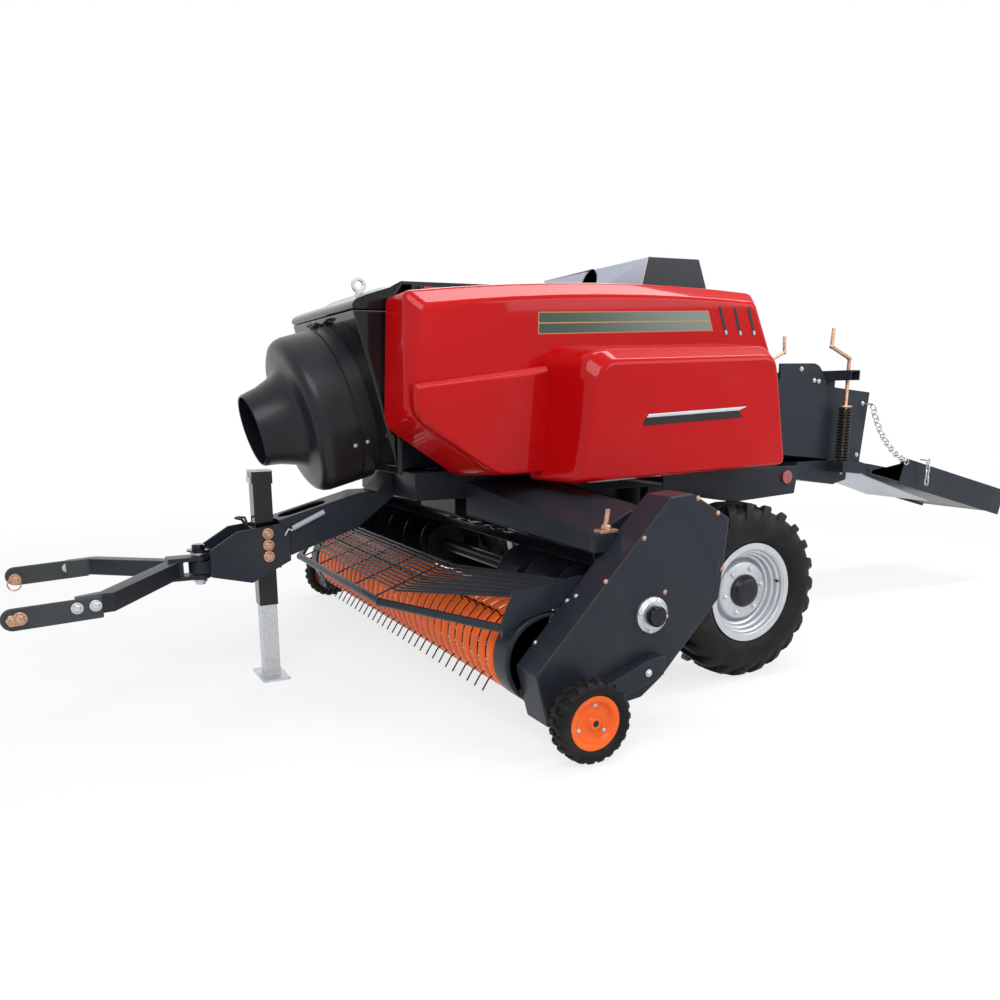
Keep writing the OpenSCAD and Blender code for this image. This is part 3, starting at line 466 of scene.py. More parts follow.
def turned(name, base, axis, profile, sides=32, ends="both"):
    """A round piece: its profile gives each ring's distance along the axis and its radius"""
    base = Vector(base)
    along = Vector(axis).normalized()
    across = along.orthogonal().normalized()
    other = along.cross(across)
    turns = [2 * pi * index / sides for index in range(sides)]
    rings = [[base + along * far + (across * cos(turn) + other * sin(turn)) * radius for turn in turns]
             for far, radius in profile]
    return skinned(name, rings, ends)


def bar(name, path, radius, sides=10):
    """A round bar along a path of points"""
    path = [Vector(point) for point in path]
    turns = [2 * pi * step / sides for step in range(sides)]
    across = (path[1] - path[0]).orthogonal().normalized()
    rings = []
    for index, point in enumerate(path):
        ahead = (path[min(index + 1, len(path) - 1)] - path[max(index - 1, 0)]).normalized()
        across = (across - ahead * across.dot(ahead)).normalized()
        other = ahead.cross(across)
        rings.append([point + (across * cos(turn) + other * sin(turn)) * radius for turn in turns])
    return skinned(name, rings)


def slab(name, corners, low, high):
    """An upright plate: its corners in X and Z, and the Y of its two faces"""
    return skinned(name, [[(x, y, z) for x, z in corners] for y in (low, high)])


def block(name, low, high):
    """A box between two opposite corners"""
    (x, y, z), (u, v, w) = low, high
    return slab(name, [(x, z), (u, z), (u, w), (x, w)], y, v)


def arced(corners, steps=6):
    """An outline from corners (x, z, reach), each rounded over that reach along its two sides"""
    line = []
    for index, (x, z, reach) in enumerate(corners):
        corner = Vector((x, z))
        if not reach:
            line.append(tuple(corner))
            continue
        before = Vector(corners[index - 1][:2])
        after = Vector(corners[(index + 1) % len(corners)][:2])
        start = corner + (before - corner).normalized() * reach
        end = corner + (after - corner).normalized() * reach
        for step in range(steps + 1):
            t = step / steps
            line.append(tuple(start * (1 - t) ** 2 + corner * 2 * t * (1 - t) + end * t ** 2))
    return line


def joined(name, pieces):
    """Pieces made into one, under its name"""
    only(*pieces)
    bpy.ops.object.join()
    return started(name)


def copied(name, model, placings):
    """Copies of a model, each with its own mesh and placed by a matrix, joined"""
    copies = []
    for placing in placings:
        only(model)
        bpy.ops.object.duplicate()
        copy = bpy.context.object
        copy.data.transform(placing)
        copies.append(copy)
    bpy.data.objects.remove(model)
    return joined(name, copies)


SIDES = ((1, "left"), (-1, "right"))
LEFT = (0, 1, 0)
UP = (0, 0, 1)


def bolts(name, body, places, radius, slot="galvanised"):
    """Hexagon bolts with washers: each place is a point on a surface and the way the head points"""
    shapes = []
    for part, sides, shares in (("washer", 16, ((0, 1.4), (0.2, 1.4), (0.28, 1.3))),
                                ("head", 6, ((0.2, 1), (0.75, 1), (0.95, 0.78)))):
        profile = [(along * radius, out * radius) for along, out in shares]
        shapes.append(turned(part, (0, 0, 0), UP, profile, sides))
    model = joined("bolt", shapes)
    placings = [Matrix.Translation(point) @ Vector(way).to_track_quat("Z", "Y").to_matrix().to_4x4()
                for point, way in places]
    fitted(smoothed(copied(name, model, placings)), body, slot)


def on_side(places, side):
    """Places given on the left, as they lie on one side"""
    return [((x, side * y, z), (u, side * v, w)) for (x, y, z), (u, v, w) in places]


def mirrored(places):
    """Places on the left side with the same places on the right"""
    return on_side(places, 1) + on_side(places, -1)


# Side covers: a skin with an arched top, a lower half that stands further out, and the drive bulge

COVER_IN = 0.463
COVER_OUT = 0.690
COVER_STEP = 0.042
BULGE_OUT = 0.960
COVER_SHEET = 0.008
HINGE_XS = (1.220, 0.420)
HINGE_Y = 0.456
HINGE_Z = 1.626
HINGE_HALF = 0.045
KNUCKLE_R = 0.011
PIN_HOLE_R = 0.0075
LEAF_IN = 0.006
LEAF_OUT = 0.014
LEAF_DROP = 0.030
LEAF_RISE = 0.004
SHOULDER_BACK = 0.050
LOWER_LIP = 0.022
BULGE_ROOT = 0.040
CORNER_REACH = 0.03
# Edge radii of the three sheets of a cover
SKIN_EDGE = 0.014
LOWER_EDGE = 0.006
BULGE_EDGE = 0.014


def crowned(front, rear, rise, steps=8):
    """Corners from front to rear along a line that arches up by rise, with its two ends rounded"""
    line = []
    for step in range(steps + 1):
        t = step / steps
        reach = CORNER_REACH if step in (0, steps) else 0
        line.append((front[0] + (rear[0] - front[0]) * t,
                     front[1] + (rear[1] - front[1]) * t + 4 * rise * t * (1 - t), reach))
    return line


RIM_LINE = arced(crowned((1.425, 1.592), (-0.250, 1.608), 0.004) + [
    (-0.362, 1.400, 0), (-0.318, 0.932, 0.03), (1.130, 0.886, 0.06), (1.447, 1.100, 0.05)])
SHOULDER_LINE = arced(crowned((1.424, 1.597), (-0.258, 1.661), 0.038) + [
    (-0.372, 1.398, 0), (-0.320, 0.934, 0.03), (1.0945, 0.9005, 0.06), (1.430, 1.126, 0.05)])
FACE_LINE = arced(crowned((1.368, 1.541), (-0.242, 1.608), 0.032) + [
    (-0.351, 1.392, 0), (-0.300, 0.948, 0.03), (1.0845, 0.9045, 0.06), (1.425, 1.134, 0.05)])
LOWER_LINE = arced([(1.4215, 1.262, 0), (0.820, 1.335, 0), (-0.330, 1.352, 0), (-0.305, 0.936, 0.03),
                    (1.0800, 0.9075, 0.06), (1.4235, 1.138, 0.05)])
LOWER_FACE = arced([(1.412, 1.243, 0), (0.815, 1.314, 0), (-0.312, 1.333, 0), (-0.290, 0.946, 0.03),
                    (1.0760, 0.9110, 0.06), (1.4180, 1.142, 0.05)])
BULGE_BASE = arced([(0.868, 1.408, 0.11), (-0.130, 1.440, 0.05), (-0.240, 0.906, 0.03), (0.890, 0.876, 0.03)])
BULGE_SHOULDER = arced([(0.808, 1.386, 0.10), (-0.126, 1.414, 0.06), (-0.226, 0.908, 0.03),
                        (0.848, 0.878, 0.03)])
BULGE_FACE = arced([(0.768, 1.338, 0.09), (-0.124, 1.368, 0.06), (-0.206, 0.922, 0.03), (0.822, 0.891, 0.03)])
SLOT_TOPS = ((-0.040, 1.583), (-0.123, 1.582), (-0.204, 1.585))
SLOT_RUN = (-0.040, -0.105)
SLOT_HALF = 0.0085
LIP_FROM = 0.93
LIP_SHARE = 0.8
TRIM_BAR = [(0.560, 1.098), (0.545, 1.128), (0.075, 1.150), (0.050, 1.122)]
TRIM_EDGE = [(0.545, 1.128), (0.535, 1.142), (0.030, 1.166), (0.075, 1.150)]


def capsule(start, end, half, steps=6):
    """Outline of a slot with round ends"""
    start, end = Vector(start), Vector(end)
    along = (end - start).normalized() * half
    across = Vector((-along.y, along.x))
    line = []
    for centre, sense in ((end, 1), (start, -1)):
        for step in range(steps + 1):
            turn = pi * step / steps
            line.append(tuple(centre + along * (sense * sin(turn)) + across * (sense * cos(turn))))
    return line


def cover(side, word):
    """One side cover: three sheets with rounded edges, and its hinge knuckles"""
    lower_out = COVER_OUT + COVER_STEP
    shoulder = COVER_OUT - SHOULDER_BACK
    bulge_shoulder = BULGE_OUT - SHOULDER_BACK
    sheets = [
        ("skin", SKIN_EDGE, [(COVER_IN, RIM_LINE), (shoulder, SHOULDER_LINE), (COVER_OUT, FACE_LINE)]),
        ("lower", LOWER_EDGE, [(shoulder, LOWER_LINE), (lower_out - LOWER_LIP, LOWER_LINE),
                               (lower_out, LOWER_FACE)]),
        ("bulge", BULGE_EDGE, [(COVER_OUT - BULGE_ROOT, BULGE_BASE), (bulge_shoulder, BULGE_SHOULDER),
                               (BULGE_OUT, BULGE_FACE)]),
    ]
    made = []
    for name, radius, sections in sheets:
        rings = [[(x, side * y, z) for x, z in line] for y, line in sections]
        sheet = rounded(skinned("cover_" + name, rings, "last"), radius, 5)
        made.append(modified(sheet, "SOLIDIFY", thickness=COVER_SHEET, offset=-1))
    for x in HINGE_XS:
        made += hinge(side, x - HINGE_HALF)
    body = "cover_" + word
    fitted(smoothed(joined(body + "_skin", made)), body, "red", None, [body])
    cover_trim(side, word)


def hinge(side, rear):
    """Knuckle round the hinge pin and the leaf that holds the cover to it"""
    length = 2 * HINGE_HALF
    profile = [(0, PIN_HOLE_R), (0, KNUCKLE_R), (length, KNUCKLE_R), (length, PIN_HOLE_R), (0, PIN_HOLE_R)]
    knuckle = turned("knuckle", (rear, side * HINGE_Y, HINGE_Z), (1, 0, 0), profile, 20, "meet")
    low, high = sorted((side * (HINGE_Y + LEAF_IN), side * (HINGE_Y + LEAF_OUT)))
    leaf = block("leaf", (rear, low, HINGE_Z - LEAF_DROP), (rear + length, high, HINGE_Z + LEAF_RISE))
    return [knuckle, leaf]


def cover_trim(side, word):
    """Three vent slots as dark plates of painted shade, with pale lower lips, and a plain two-part trim bar
    on the bulge
    """
    body = "cover_" + word

    def raised(name, corners, face, low, high):
        return slab(name, corners, side * (face + low), side * (face + high))

    slots, lips = [], []
    for x, z in SLOT_TOPS:
        end = (x + SLOT_RUN[0], z + SLOT_RUN[1])
        near = (x + SLOT_RUN[0] * LIP_FROM, z + SLOT_RUN[1] * LIP_FROM)
        # Painted shade: each slot is a dark plate standing for the shade inside the vent opening
        slots.append(raised("slot", capsule((x, z), end, SLOT_HALF), COVER_OUT, -0.002, 0.0015))
        lips.append(raised("lip", capsule(near, end, SLOT_HALF * LIP_SHARE), COVER_OUT, 0.001, 0.0035))
    fitted(rounded(joined("vent_slots_" + word, slots), 0.0008, 1), body, "black_plastic")
    fitted(rounded(joined("vent_lips_" + word, lips), 0.001), body, "silver", PALE_SHEET)
    dark = raised("trim_bar_" + word, TRIM_BAR, BULGE_OUT, -0.002, 0.004)
    bright = raised("trim_edge_" + word, TRIM_EDGE, BULGE_OUT, -0.002, 0.006)
    fitted(rounded(dark, 0.002), body, "black_plastic")
    fitted(rounded(bright, 0.002), body, "silver")


for side, word in SIDES:
    cover(side, word)


# Front: moulded flywheel cover on the drooping drive line, the leaning cowl behind it and the deck's nose

DROOP = radians(15)
DRIVE_FROM = Vector((1.4546, 0, 1.187))
DRIVE_AHEAD = Vector((cos(DROOP), 0, -sin(DROOP)))
DRIVE_UP = Vector((sin(DROOP), 0, cos(DROOP)))
DRUM_R = 0.334
DRUM_L = 0.245
DRUM_WALL = 0.006
RING_L = 0.062
SNOUT_R = 0.152
SNOUT_END = DRUM_L + 0.182
COWL_HALF = 0.440
COWL_BACK = 1.3856
COWL_UP = 0.370
COWL_HOLE_R = 0.316
NOSE_HALF = COWL_HALF - 0.001
GROOVE = 0.006
LATCH_L = 0.035
CLIP_L = 0.100
CLIP_APART = 0.055
CLIP_TURN = radians(116)
NOSE_LINE = [(1.3856, 1.545), (1.549, 1.545), (1.554, 1.560), (1.547, 1.574), (1.532, 1.585), (1.497, 1.599),
             (1.394, 1.632), (1.351, 1.656), (1.3856, 1.606)]


def on_drive(ahead, side, up):
    """A point in the drive's own frame: ahead along the shaft, to the left, and square to both"""
    return DRIVE_FROM + DRIVE_AHEAD * ahead + Vector((0, side, 0)) + DRIVE_UP * up


def flywheel_cover():
    """Drum with a groove behind its mounting ring, a rounded front and a snout that flares into it"""
    wall = DRUM_R - 0.005 - DRUM_WALL
    inside = DRUM_L - DRUM_WALL
    profile = [
        (0, DRUM_R), (RING_L, DRUM_R), (RING_L + 0.003, DRUM_R - GROOVE), (RING_L + 0.011, DRUM_R - GROOVE),
        (RING_L + 0.014, DRUM_R), (DRUM_L - 0.055, DRUM_R), (DRUM_L - 0.032, DRUM_R - 0.005),
        (DRUM_L - 0.014, DRUM_R - 0.016), (DRUM_L - 0.004, DRUM_R - 0.034), (DRUM_L, DRUM_R - 0.055),
        (DRUM_L + 0.006, SNOUT_R + 0.070), (DRUM_L + 0.018, SNOUT_R + 0.054),
        (DRUM_L + 0.050, SNOUT_R + 0.036), (DRUM_L + 0.110, SNOUT_R + 0.014),
        (SNOUT_END - 0.006, SNOUT_R + 0.001), (SNOUT_END, SNOUT_R - 0.003),
        (SNOUT_END - 0.002, SNOUT_R - 0.008), (DRUM_L + 0.046, SNOUT_R + 0.027),
        (inside + 0.012, SNOUT_R + 0.050), (inside, wall - 0.050), (inside - 0.014, wall - 0.014),
        (DRUM_L - 0.060, wall), (0, wall), (0, DRUM_R)
    ]
    piece = turned("flywheel_cover_shell", DRIVE_FROM, DRIVE_AHEAD, profile, 96, "meet")
    fitted(smoothed(piece, 32), "frame", "black_plastic", None, ["flywheel_cover"])


def front_cowl():
    """A wedge in front of the upright panel, so that its face leans with the drive, open for the flywheel"""
    foot = (COWL_BACK - DRIVE_FROM.x) / sin(DROOP)
    top = on_drive(0, 0, COWL_UP)
    low = on_drive(0, 0, foot)
    corners = [(COWL_BACK, low.z), (top.x, top.z), (COWL_BACK, top.z)]
    wedge = rounded(slab("front_cowl", corners, -COWL_HALF, COWL_HALF), 0.012, 3)
    profile = [(-0.3, COWL_HOLE_R), (0.1, COWL_HOLE_R)]
    hole = turned("hole", DRIVE_FROM, DRIVE_AHEAD, profile, 72)
    modified(wedge, "BOOLEAN", object=hole, operation="DIFFERENCE", solver="EXACT")
    bpy.data.objects.remove(hole)
    fitted(smoothed(wedge), "frame", "black_paint")


def deck_nose():
    """Rounded nose that carries the top deck out over the leaning cowl"""
    nose = slab("deck_nose", NOSE_LINE, -NOSE_HALF, NOSE_HALF)
    fitted(rounded(nose, 0.004), "frame", "black_paint")


def cover_fastenings():
    """A toggle latch over the top of the ring, and two clip bolts at its side"""
    top = on_drive(LATCH_L, 0, DRUM_R)
    latch = [
        bar("handle", [top + Vector(step) for step in (
            (0.012, -0.055, 0.012), (0.006, 0, 0.022), (0.012, 0.055, 0.012))], 0.007),
        bar("stem", [top + Vector((-0.055, 0, 0.006)), top + Vector((0.01, 0, 0.022))], 0.006),
        turned("seat", top - DRIVE_UP * 0.004, DRIVE_UP, [(0, 0.02), (0.012, 0.02), (0.016, 0.014)], 20),
    ]
    fitted(smoothed(joined("ring_latch", latch)), "frame", "black_plastic")
    spot = on_drive(CLIP_L, sin(CLIP_TURN) * DRUM_R, cos(CLIP_TURN) * DRUM_R)
    out = Vector((0, sin(CLIP_TURN), 0)) + DRIVE_UP * cos(CLIP_TURN)
    bolts("clip_bolts", "frame", [(spot, out), (spot - DRIVE_AHEAD * CLIP_APART, out)], 0.007)


flywheel_cover()
front_cowl()
deck_nose()
cover_fastenings()


# Wheels: tyres with slanted lugs, hub caps, bolts and valves

WHEEL_Y = 0.908
TYRE_R = 0.380
LUG_COUNT = 23
GAUGE_X = 1.120
GAUGE_R = 0.146
GAUGE_Y = 1.464
GAUGE_BLOCKS = 22


def lug(sections, shape, side):
    """One lug on top of a wheel, on one side of its middle"""
    half_base, half_top, slant = shape
    rings = []
    for across, low, high in sections:
        corners = []
        for offset, radius in ((-half_base, low), (-half_top, high), (half_top, high), (half_base, low)):
            x = across * slant + offset
            corners.append((x, side * across, (radius ** 2 - x ** 2) ** 0.5))
        rings.append(corners)
    return skinned("lug", rings)


def treaded(name, centre, profile, sections, shape, count):
    """A tyre turned from its profile, with two staggered rows of lugs"""
    made = [turned("carcass", centre, LEFT, profile, 72, "meet")]
    for side in (1, -1):
        model = rounded(lug(sections, shape, side), 0.003, 1)
        turns = [2 * pi * (index + (side + 1) / 4) / count for index in range(count)]
        made.append(copied("lugs", model, [Matrix.Translation(centre) @ Matrix.Rotation(turn, 4, "Y")
                                           for turn in turns]))
    return smoothed(joined(name, made))


def carcass_profile(flank, crown):
    """A tyre's closed profile, from the points of one flank and the radius of its crown"""
    left = [(-across, radius) for across, radius in flank]
    return left + [(0, crown)] + flank[::-1] + left[:1]


# A flank lists (distance from the middle, radius) from the bead out. A lug's sections list its distance from
# the middle, low radius and high radius, and its shape is its half width at foot and top and its slant
TYRE_PROFILE = carcass_profile([
    (0.103, 0.203), (0.104, 0.218), (0.119, 0.230), (0.127, 0.246), (0.132, 0.285), (0.130, 0.306),
    (0.123, 0.328), (0.106, 0.347), (0.080, 0.355)
], 0.357)
LUG_SECTIONS = [(0.004, 0.345, 0.378), (0.050, 0.345, 0.3795), (0.088, 0.340, 0.3775), (0.108, 0.330, 0.368),
                (0.122, 0.312, 0.343), (0.128, 0.300, 0.318)]
LUG_SHAPE = (0.024, 0.020, 0.70)
GAUGE_PROFILE = carcass_profile([
    (0.032, 0.096), (0.040, 0.106), (0.045, 0.117), (0.042, 0.131), (0.030, 0.137)
], 0.138)
BLOCK_SECTIONS = [(0.003, 0.132, 0.1458), (0.028, 0.132, 0.1455), (0.038, 0.127, 0.141),
                  (0.0445, 0.120, 0.127)]
BLOCK_SHAPE = (0.0125, 0.0105, 0.15)
RIM_STEPS = [
    (0.1108, 0.192), (0.104, 0.184), (0.092, 0.181), (0.088, 0.172), (0.070, 0.168), (0.066, 0.159),
    (0.048, 0.155), (0.044, 0.146), (0.026, 0.142), (0.024, 0.148), (0.043, 0.188), (0.1108, 0.192)
]
CAP_PROFILE = [(0, 0.068), (0.004, 0.072), (0.014, 0.072), (0.019, 0.064), (0.030, 0.060), (0.038, 0.050),
               (0.040, 0.030)]
CAP_FOOT = 0.968
HUB_BOLT_R = 0.100
HUB_FACE = 0.971
HUB_BOLTS = 6
HUB_FIRST = radians(49)
VALVE_PATH = [(-0.176, 0.955, 0.412), (-0.172, 0.985, 0.411), (-0.168, 1.002, 0.410)]
GAUGE_BOLT_R = 0.060
GAUGE_FACE = 1.478
GAUGE_BOLTS = 3
GAUGE_FIRST = radians(98)


def wheel_places(x, z, radius, y, count, start):
    """Bolt places round a wheel's middle, on its left side"""
    places = []
    for step in range(count):
        turn = start + 2 * pi * step / count
        places.append(((x + radius * cos(turn), y, z + radius * sin(turn)), LEFT))
    return places


def main_wheel(side, word):
    """Lugged tyre, stepped rim, hub cap, bolts and valve of one main wheel"""
    body = "wheel_" + word
    middle = (0, side * WHEEL_Y, TYRE_R)
    out = (0, side, 0)
    tyre = treaded("tyre_%s_lugged" % word, middle, TYRE_PROFILE, LUG_SECTIONS, LUG_SHAPE, LUG_COUNT)
    fitted(tyre, body, "tyre", None, ["tyre_" + word])
    steps = turned("rim_steps_" + word, middle, out, RIM_STEPS, 72, "meet")
    fitted(smoothed(steps, 30), body, "silver")
    cap = turned("hub_cap_" + word, (0, side * CAP_FOOT, TYRE_R), out, CAP_PROFILE, 40)
    fitted(smoothed(cap), body, "black_plastic")
    places = wheel_places(0, TYRE_R, HUB_BOLT_R, HUB_FACE, HUB_BOLTS, HUB_FIRST)
    bolts("hub_bolts_" + word, body, on_side(places, side), 0.011)
    stem = bar("valve_" + word, [(x, side * y, z) for x, y, z in VALVE_PATH], 0.006)
    fitted(smoothed(stem), body, "black_plastic")


def gauge_wheel(side, word):
    """Blocked tyre and bolts of one gauge wheel"""
    body = "gauge_" + word
    middle = (GAUGE_X, side * GAUGE_Y, GAUGE_R)
    tyre = treaded("gauge_tyre_%s_blocked" % word, middle, GAUGE_PROFILE, BLOCK_SECTIONS, BLOCK_SHAPE,
                   GAUGE_BLOCKS)
    fitted(tyre, body, "tyre", None, ["gauge_tyre_" + word])
    places = wheel_places(GAUGE_X, GAUGE_R, GAUGE_BOLT_R, GAUGE_FACE, GAUGE_BOLTS, GAUGE_FIRST)
    bolts("gauge_bolts_" + word, body, on_side(places, side), 0.006)


for side, word in SIDES:
    main_wheel(side, word)
    gauge_wheel(side, word)


# Pick-up: bearing flanges, shield and arm bolts, header screws and windguard rods

SHIELD_OUT = 1.349
SCREW_Y = 1.206
SCREW_ENDS = ((0.905, 0.690), (0.886, 0.818))
NUT_PROFILE = [(0, 0.019), (0.014, 0.019), (0.018, 0.015)]
# Bend and end of the first windguard rod, and the step from rod to rod
GUARD_BEND = ((1.455, 0.580, 0.458), (-0.040, 0, 0.014))
GUARD_END = ((1.240, 1.190, 0.532), (-0.038, 0, 0.005))
GUARD_GAPS = 6
AUGER_X = 0.790
AUGER_Z = 0.449
SHIELD_SLOPE = (0.73, 0, 0.69)
SHIELD_BOLTS = [(0.504, 0.795), (0.600, 0.855), (0.832, 0.728), (0.990, 0.590), (0.732, 0.525),
                (0.471, 0.585)]
FLANGE_PROFILE = [(-0.002, 0.066), (0.010, 0.066), (0.013, 0.062), (0.016, 0.056), (0.020, 0.052)]
FLANGE_BOLT_R = 0.058
FLANGE_BOLT_OUT = 0.013
BEARING_CAP = [(0.018, 0.038), (0.040, 0.038), (0.045, 0.034), (0.046, 0.020)]
ARM_BOLT = (0.831, 1.399, 0.251)
SLOPE_BOLTS = [(1.060, 1.215, 0.503), (1.041, 1.243, 0.523), (1.190, 1.215, 0.366)]


def pickup_fittings():
    """Bearing flange and cap on each shield, and the bolts of shields and gauge arms"""
    for side, word in SIDES:
        centre = (AUGER_X, side * SHIELD_OUT, AUGER_Z)
        out = (0, side, 0)
        flange = turned("bearing_flange_" + word, centre, out, FLANGE_PROFILE, 48)
        fitted(smoothed(flange, 30), "pickup", "galvanised")
        cap = turned("bearing_cap_" + word, centre, out, BEARING_CAP, 40)
        fitted(smoothed(cap), "pickup", "black_paint")
    plain = [((x, SHIELD_OUT, z), LEFT) for x, z in SHIELD_BOLTS]
    bolts("shield_bolts", "pickup", mirrored(plain), 0.0065, "copper")
    bolts("slope_bolts", "pickup", mirrored([(place, SHIELD_SLOPE) for place in SLOPE_BOLTS]), 0.0065)
    flange = wheel_places(AUGER_X, AUGER_Z, FLANGE_BOLT_R, SHIELD_OUT + FLANGE_BOLT_OUT, 4, radians(10))
    bolts("flange_bolts", "pickup", mirrored(flange), 0.006)
    bolts("arm_bolts", "pickup", mirrored([(ARM_BOLT, LEFT)]), 0.010)


def header_screws():
    """A threaded rod with a nut plate on a bracket, by the end of each wing"""
    for side, word in SIDES:
        y = side * SCREW_Y
        rod = bar("header_screw_" + word, [(x, y, z) for x, z in SCREW_ENDS], 0.010, 16)
        fitted(smoothed(rod), "pickup", "copper")
        nut = [turned("nut", (0.894, y, 0.745), (-0.15, 0, 1), NUT_PROFILE, 6),
               block("nut_plate", (0.855, y - 0.022, 0.734), (0.932, y + 0.022, 0.746))]
        fitted(rounded(joined("header_nut_" + word, nut), 0.0015), "pickup", "copper")
        seat = block("header_bracket_" + word, (0.866, y - 0.020, 0.665), (0.950, y + 0.020, 0.733))
        fitted(rounded(seat, 0.003), "pickup", "anthracite")


def windguard_rods():
    """Thin rods halfway between the CAD's own, so that the guard is as close as in the photograph"""
    made = []
    for gap in range(GUARD_GAPS):
        left = [Vector(first) + Vector(step) * (gap + 0.5) for first, step in (GUARD_END, GUARD_BEND)]
        path = [(x, -y, z) for x, y, z in left] + left[::-1]
        made.append(bar("rod", path, 0.0045, 8))
    fitted(smoothed(joined("windguard_rods", made)), "pickup", "anthracite")


pickup_fittings()
header_screws()
windguard_rods()


# Hitch: tow bolts, linch ring, pivot nut, bracket bolts, jack cap and the stowed rod

TOW_BOLTS = ((2.615, 0.489), (2.554, 0.492))
TOW_OUT = 0.437
TOW_FAR_IN = -0.423
TOW_NUTS = ((2.797, 0.452, 0.476), (2.820, -0.345, 0.470))
LINCH_CENTRE = (2.825, -0.335, 0.452)
LINCH_R = 0.026
LINCH_STEPS = 20
BRACKET_OUT = 0.102
BRACKET_BOLT_X = 1.848
BRACKET_BOLT_ZS = (0.653, 0.604, 0.555)
PIVOT_PLACE = (2.120, 0, 0.588)
PIVOT_PROFILE = [(0, 0.048), (0.006, 0.048), (0.007, 0.027), (0.024, 0.027), (0.028, 0.022)]
HANDLE_PATH = [(1.905, -0.030, 0.668), (1.925, -0.035, 0.702), (1.945, -0.065, 0.706), (1.930, -0.095, 0.706),
               (1.900, -0.095, 0.702), (1.893, -0.070, 0.668)]
STOWED_PATH = [(1.740, 0.100, 0.668), (1.600, 0.100, 0.730)]
HOOK_PATH = [(1.775, 0.100, 0.640), (1.760, 0.105, 0.668), (1.745, 0.105, 0.660), (1.738, 0.100, 0.668)]


def tow_fittings():
    """Bolts through the tow plates, pin nuts and the linch ring of the far pin"""
    near = [((x, TOW_OUT, z), LEFT) for x, z in TOW_BOLTS]
    far = [((x, TOW_FAR_IN, z), LEFT) for x, z in TOW_BOLTS]
    bolts("tow_bolts", "tow_fork", mirrored(near) + far, 0.015)
    bolts("tow_pin_nuts", "tow_fork", [(place, LEFT) for place in TOW_NUTS], 0.017, "copper")
    x, y, z = LINCH_CENTRE
    turns = [2 * pi * step / LINCH_STEPS for step in range(LINCH_STEPS + 1)]
    ring = [(x + LINCH_R * cos(turn), y, z + LINCH_R * sin(turn)) for turn in turns]
    fitted(smoothed(bar("linch_ring", ring, 0.003, 8)), "tow_fork", "copper")


def bracket_fittings():
    """Bolts of the hitch bracket, the pivot's nut, the handle of the jack's pin and the stowed rod"""
    places = [((BRACKET_BOLT_X, BRACKET_OUT, z), LEFT) for z in BRACKET_BOLT_ZS]
    bolts("bracket_bolts", "frame", mirrored(places), 0.017, "copper")
    nut = turned("pivot_nut", PIVOT_PLACE, UP, PIVOT_PROFILE, 24)
    fitted(smoothed(nut, 30), "frame", "black_paint")
    fitted(smoothed(bar("pin_handle", HANDLE_PATH, 0.006)), "frame", "black_paint")
    fitted(smoothed(bar("stowed_rod", STOWED_PATH, 0.011, 14)), "frame", "copper", PALE_SHEET)
    fitted(smoothed(bar("stowed_rod_hook", HOOK_PATH, 0.004, 8)), "frame", "galvanised")


JACK_X = 1.846
CAP_HALF = 0.044
CAP_IN = 0.0395
CAP_LOW = 0.858
CAP_TOP = 0.912


def jack_cap():
    """Square sleeve round the top of the jack tube, with its lid and catch"""
    loop = [(CAP_HALF, CAP_LOW), (CAP_HALF, CAP_TOP), (CAP_IN, CAP_TOP), (CAP_IN, CAP_LOW)]
    rings = [[(JACK_X + x * half, y * half, z) for x, y in ((1, 1), (-1, 1), (-1, -1), (1, -1))]
             for half, z in loop + loop[:1]]
    fitted(rounded(skinned("jack_cap", rings, "meet"), 0.001), "frame", "black_paint")
    lid_half = CAP_HALF + 0.002
    front = JACK_X + CAP_HALF
    lid = [block("lid", (JACK_X - lid_half, -lid_half, 0.909), (JACK_X + lid_half, lid_half, 0.9145)),
           block("catch", (front - 0.001, -0.030, 0.862), (front + 0.008, 0.030, 0.886))]
    fitted(rounded(joined("jack_lid", lid), 0.002), "frame", "galvanised")


tow_fittings()
bracket_fittings()
jack_cap()


# Rear: chamber brackets and sill, springs, belly pan, the chute's pale sheet and hanging chains

CHAMBER_HALF = 0.245
BRACKET_LINE = arced([(-0.866, 1.250, 0), (-0.866, 1.372, 0), (-1.150, 1.376, 0.05), (-1.222, 1.250, 0)])
SILL_LINE = [(-1.030, 0.850), (-1.030, 0.754), (-1.320, 0.713), (-1.420, 0.736), (-1.420, 0.850)]
CHUTE_HINGE = Vector((-1.545, 0, 0.790))
CHUTE_DROP = radians(14)
BRACKET_IN = CHAMBER_HALF - 0.016
BRACKET_FACE = CHAMBER_HALF - 0.001
CHAMBER_BOLTS = ((-1.116, 1.285), (-1.151, 1.281), (-1.504, 1.160), (-1.490, 0.873))
EYE_PLACE = (-1.017, BRACKET_FACE, 1.345)
SPRING_X = -1.300
SPRING_Y = 0.307
SPRING_R = 0.030
SPRING_WIRE = 0.0115
SPRING_TURNS = 17
SPRING_FOOT = 0.850
SPRING_TOP = 1.140
PAN_LINE = [(1.020, 0.836), (1.020, 0.690), (0.960, 0.660), (-0.200, 0.660), (-0.280, 0.700), (-0.280, 0.836)]
PAN_HALF = 0.200
TRAY_FROM = 0.02
TRAY_L = 0.64
TRAY_HALF = 0.225
TRAY_SHEET = 0.006
TRAY_STEPS = 8
TRAY_TOP = -0.020
TRAY_SAG = 0.040
TRAY_BEND = 0.8


def on_chute(back, y, up):
    """A point in the chute's own frame, from its hinge"""
    return CHUTE_HINGE + Vector((-back * cos(CHUTE_DROP) - up * sin(CHUTE_DROP), y,
                                 -back * sin(CHUTE_DROP) + up * cos(CHUTE_DROP)))


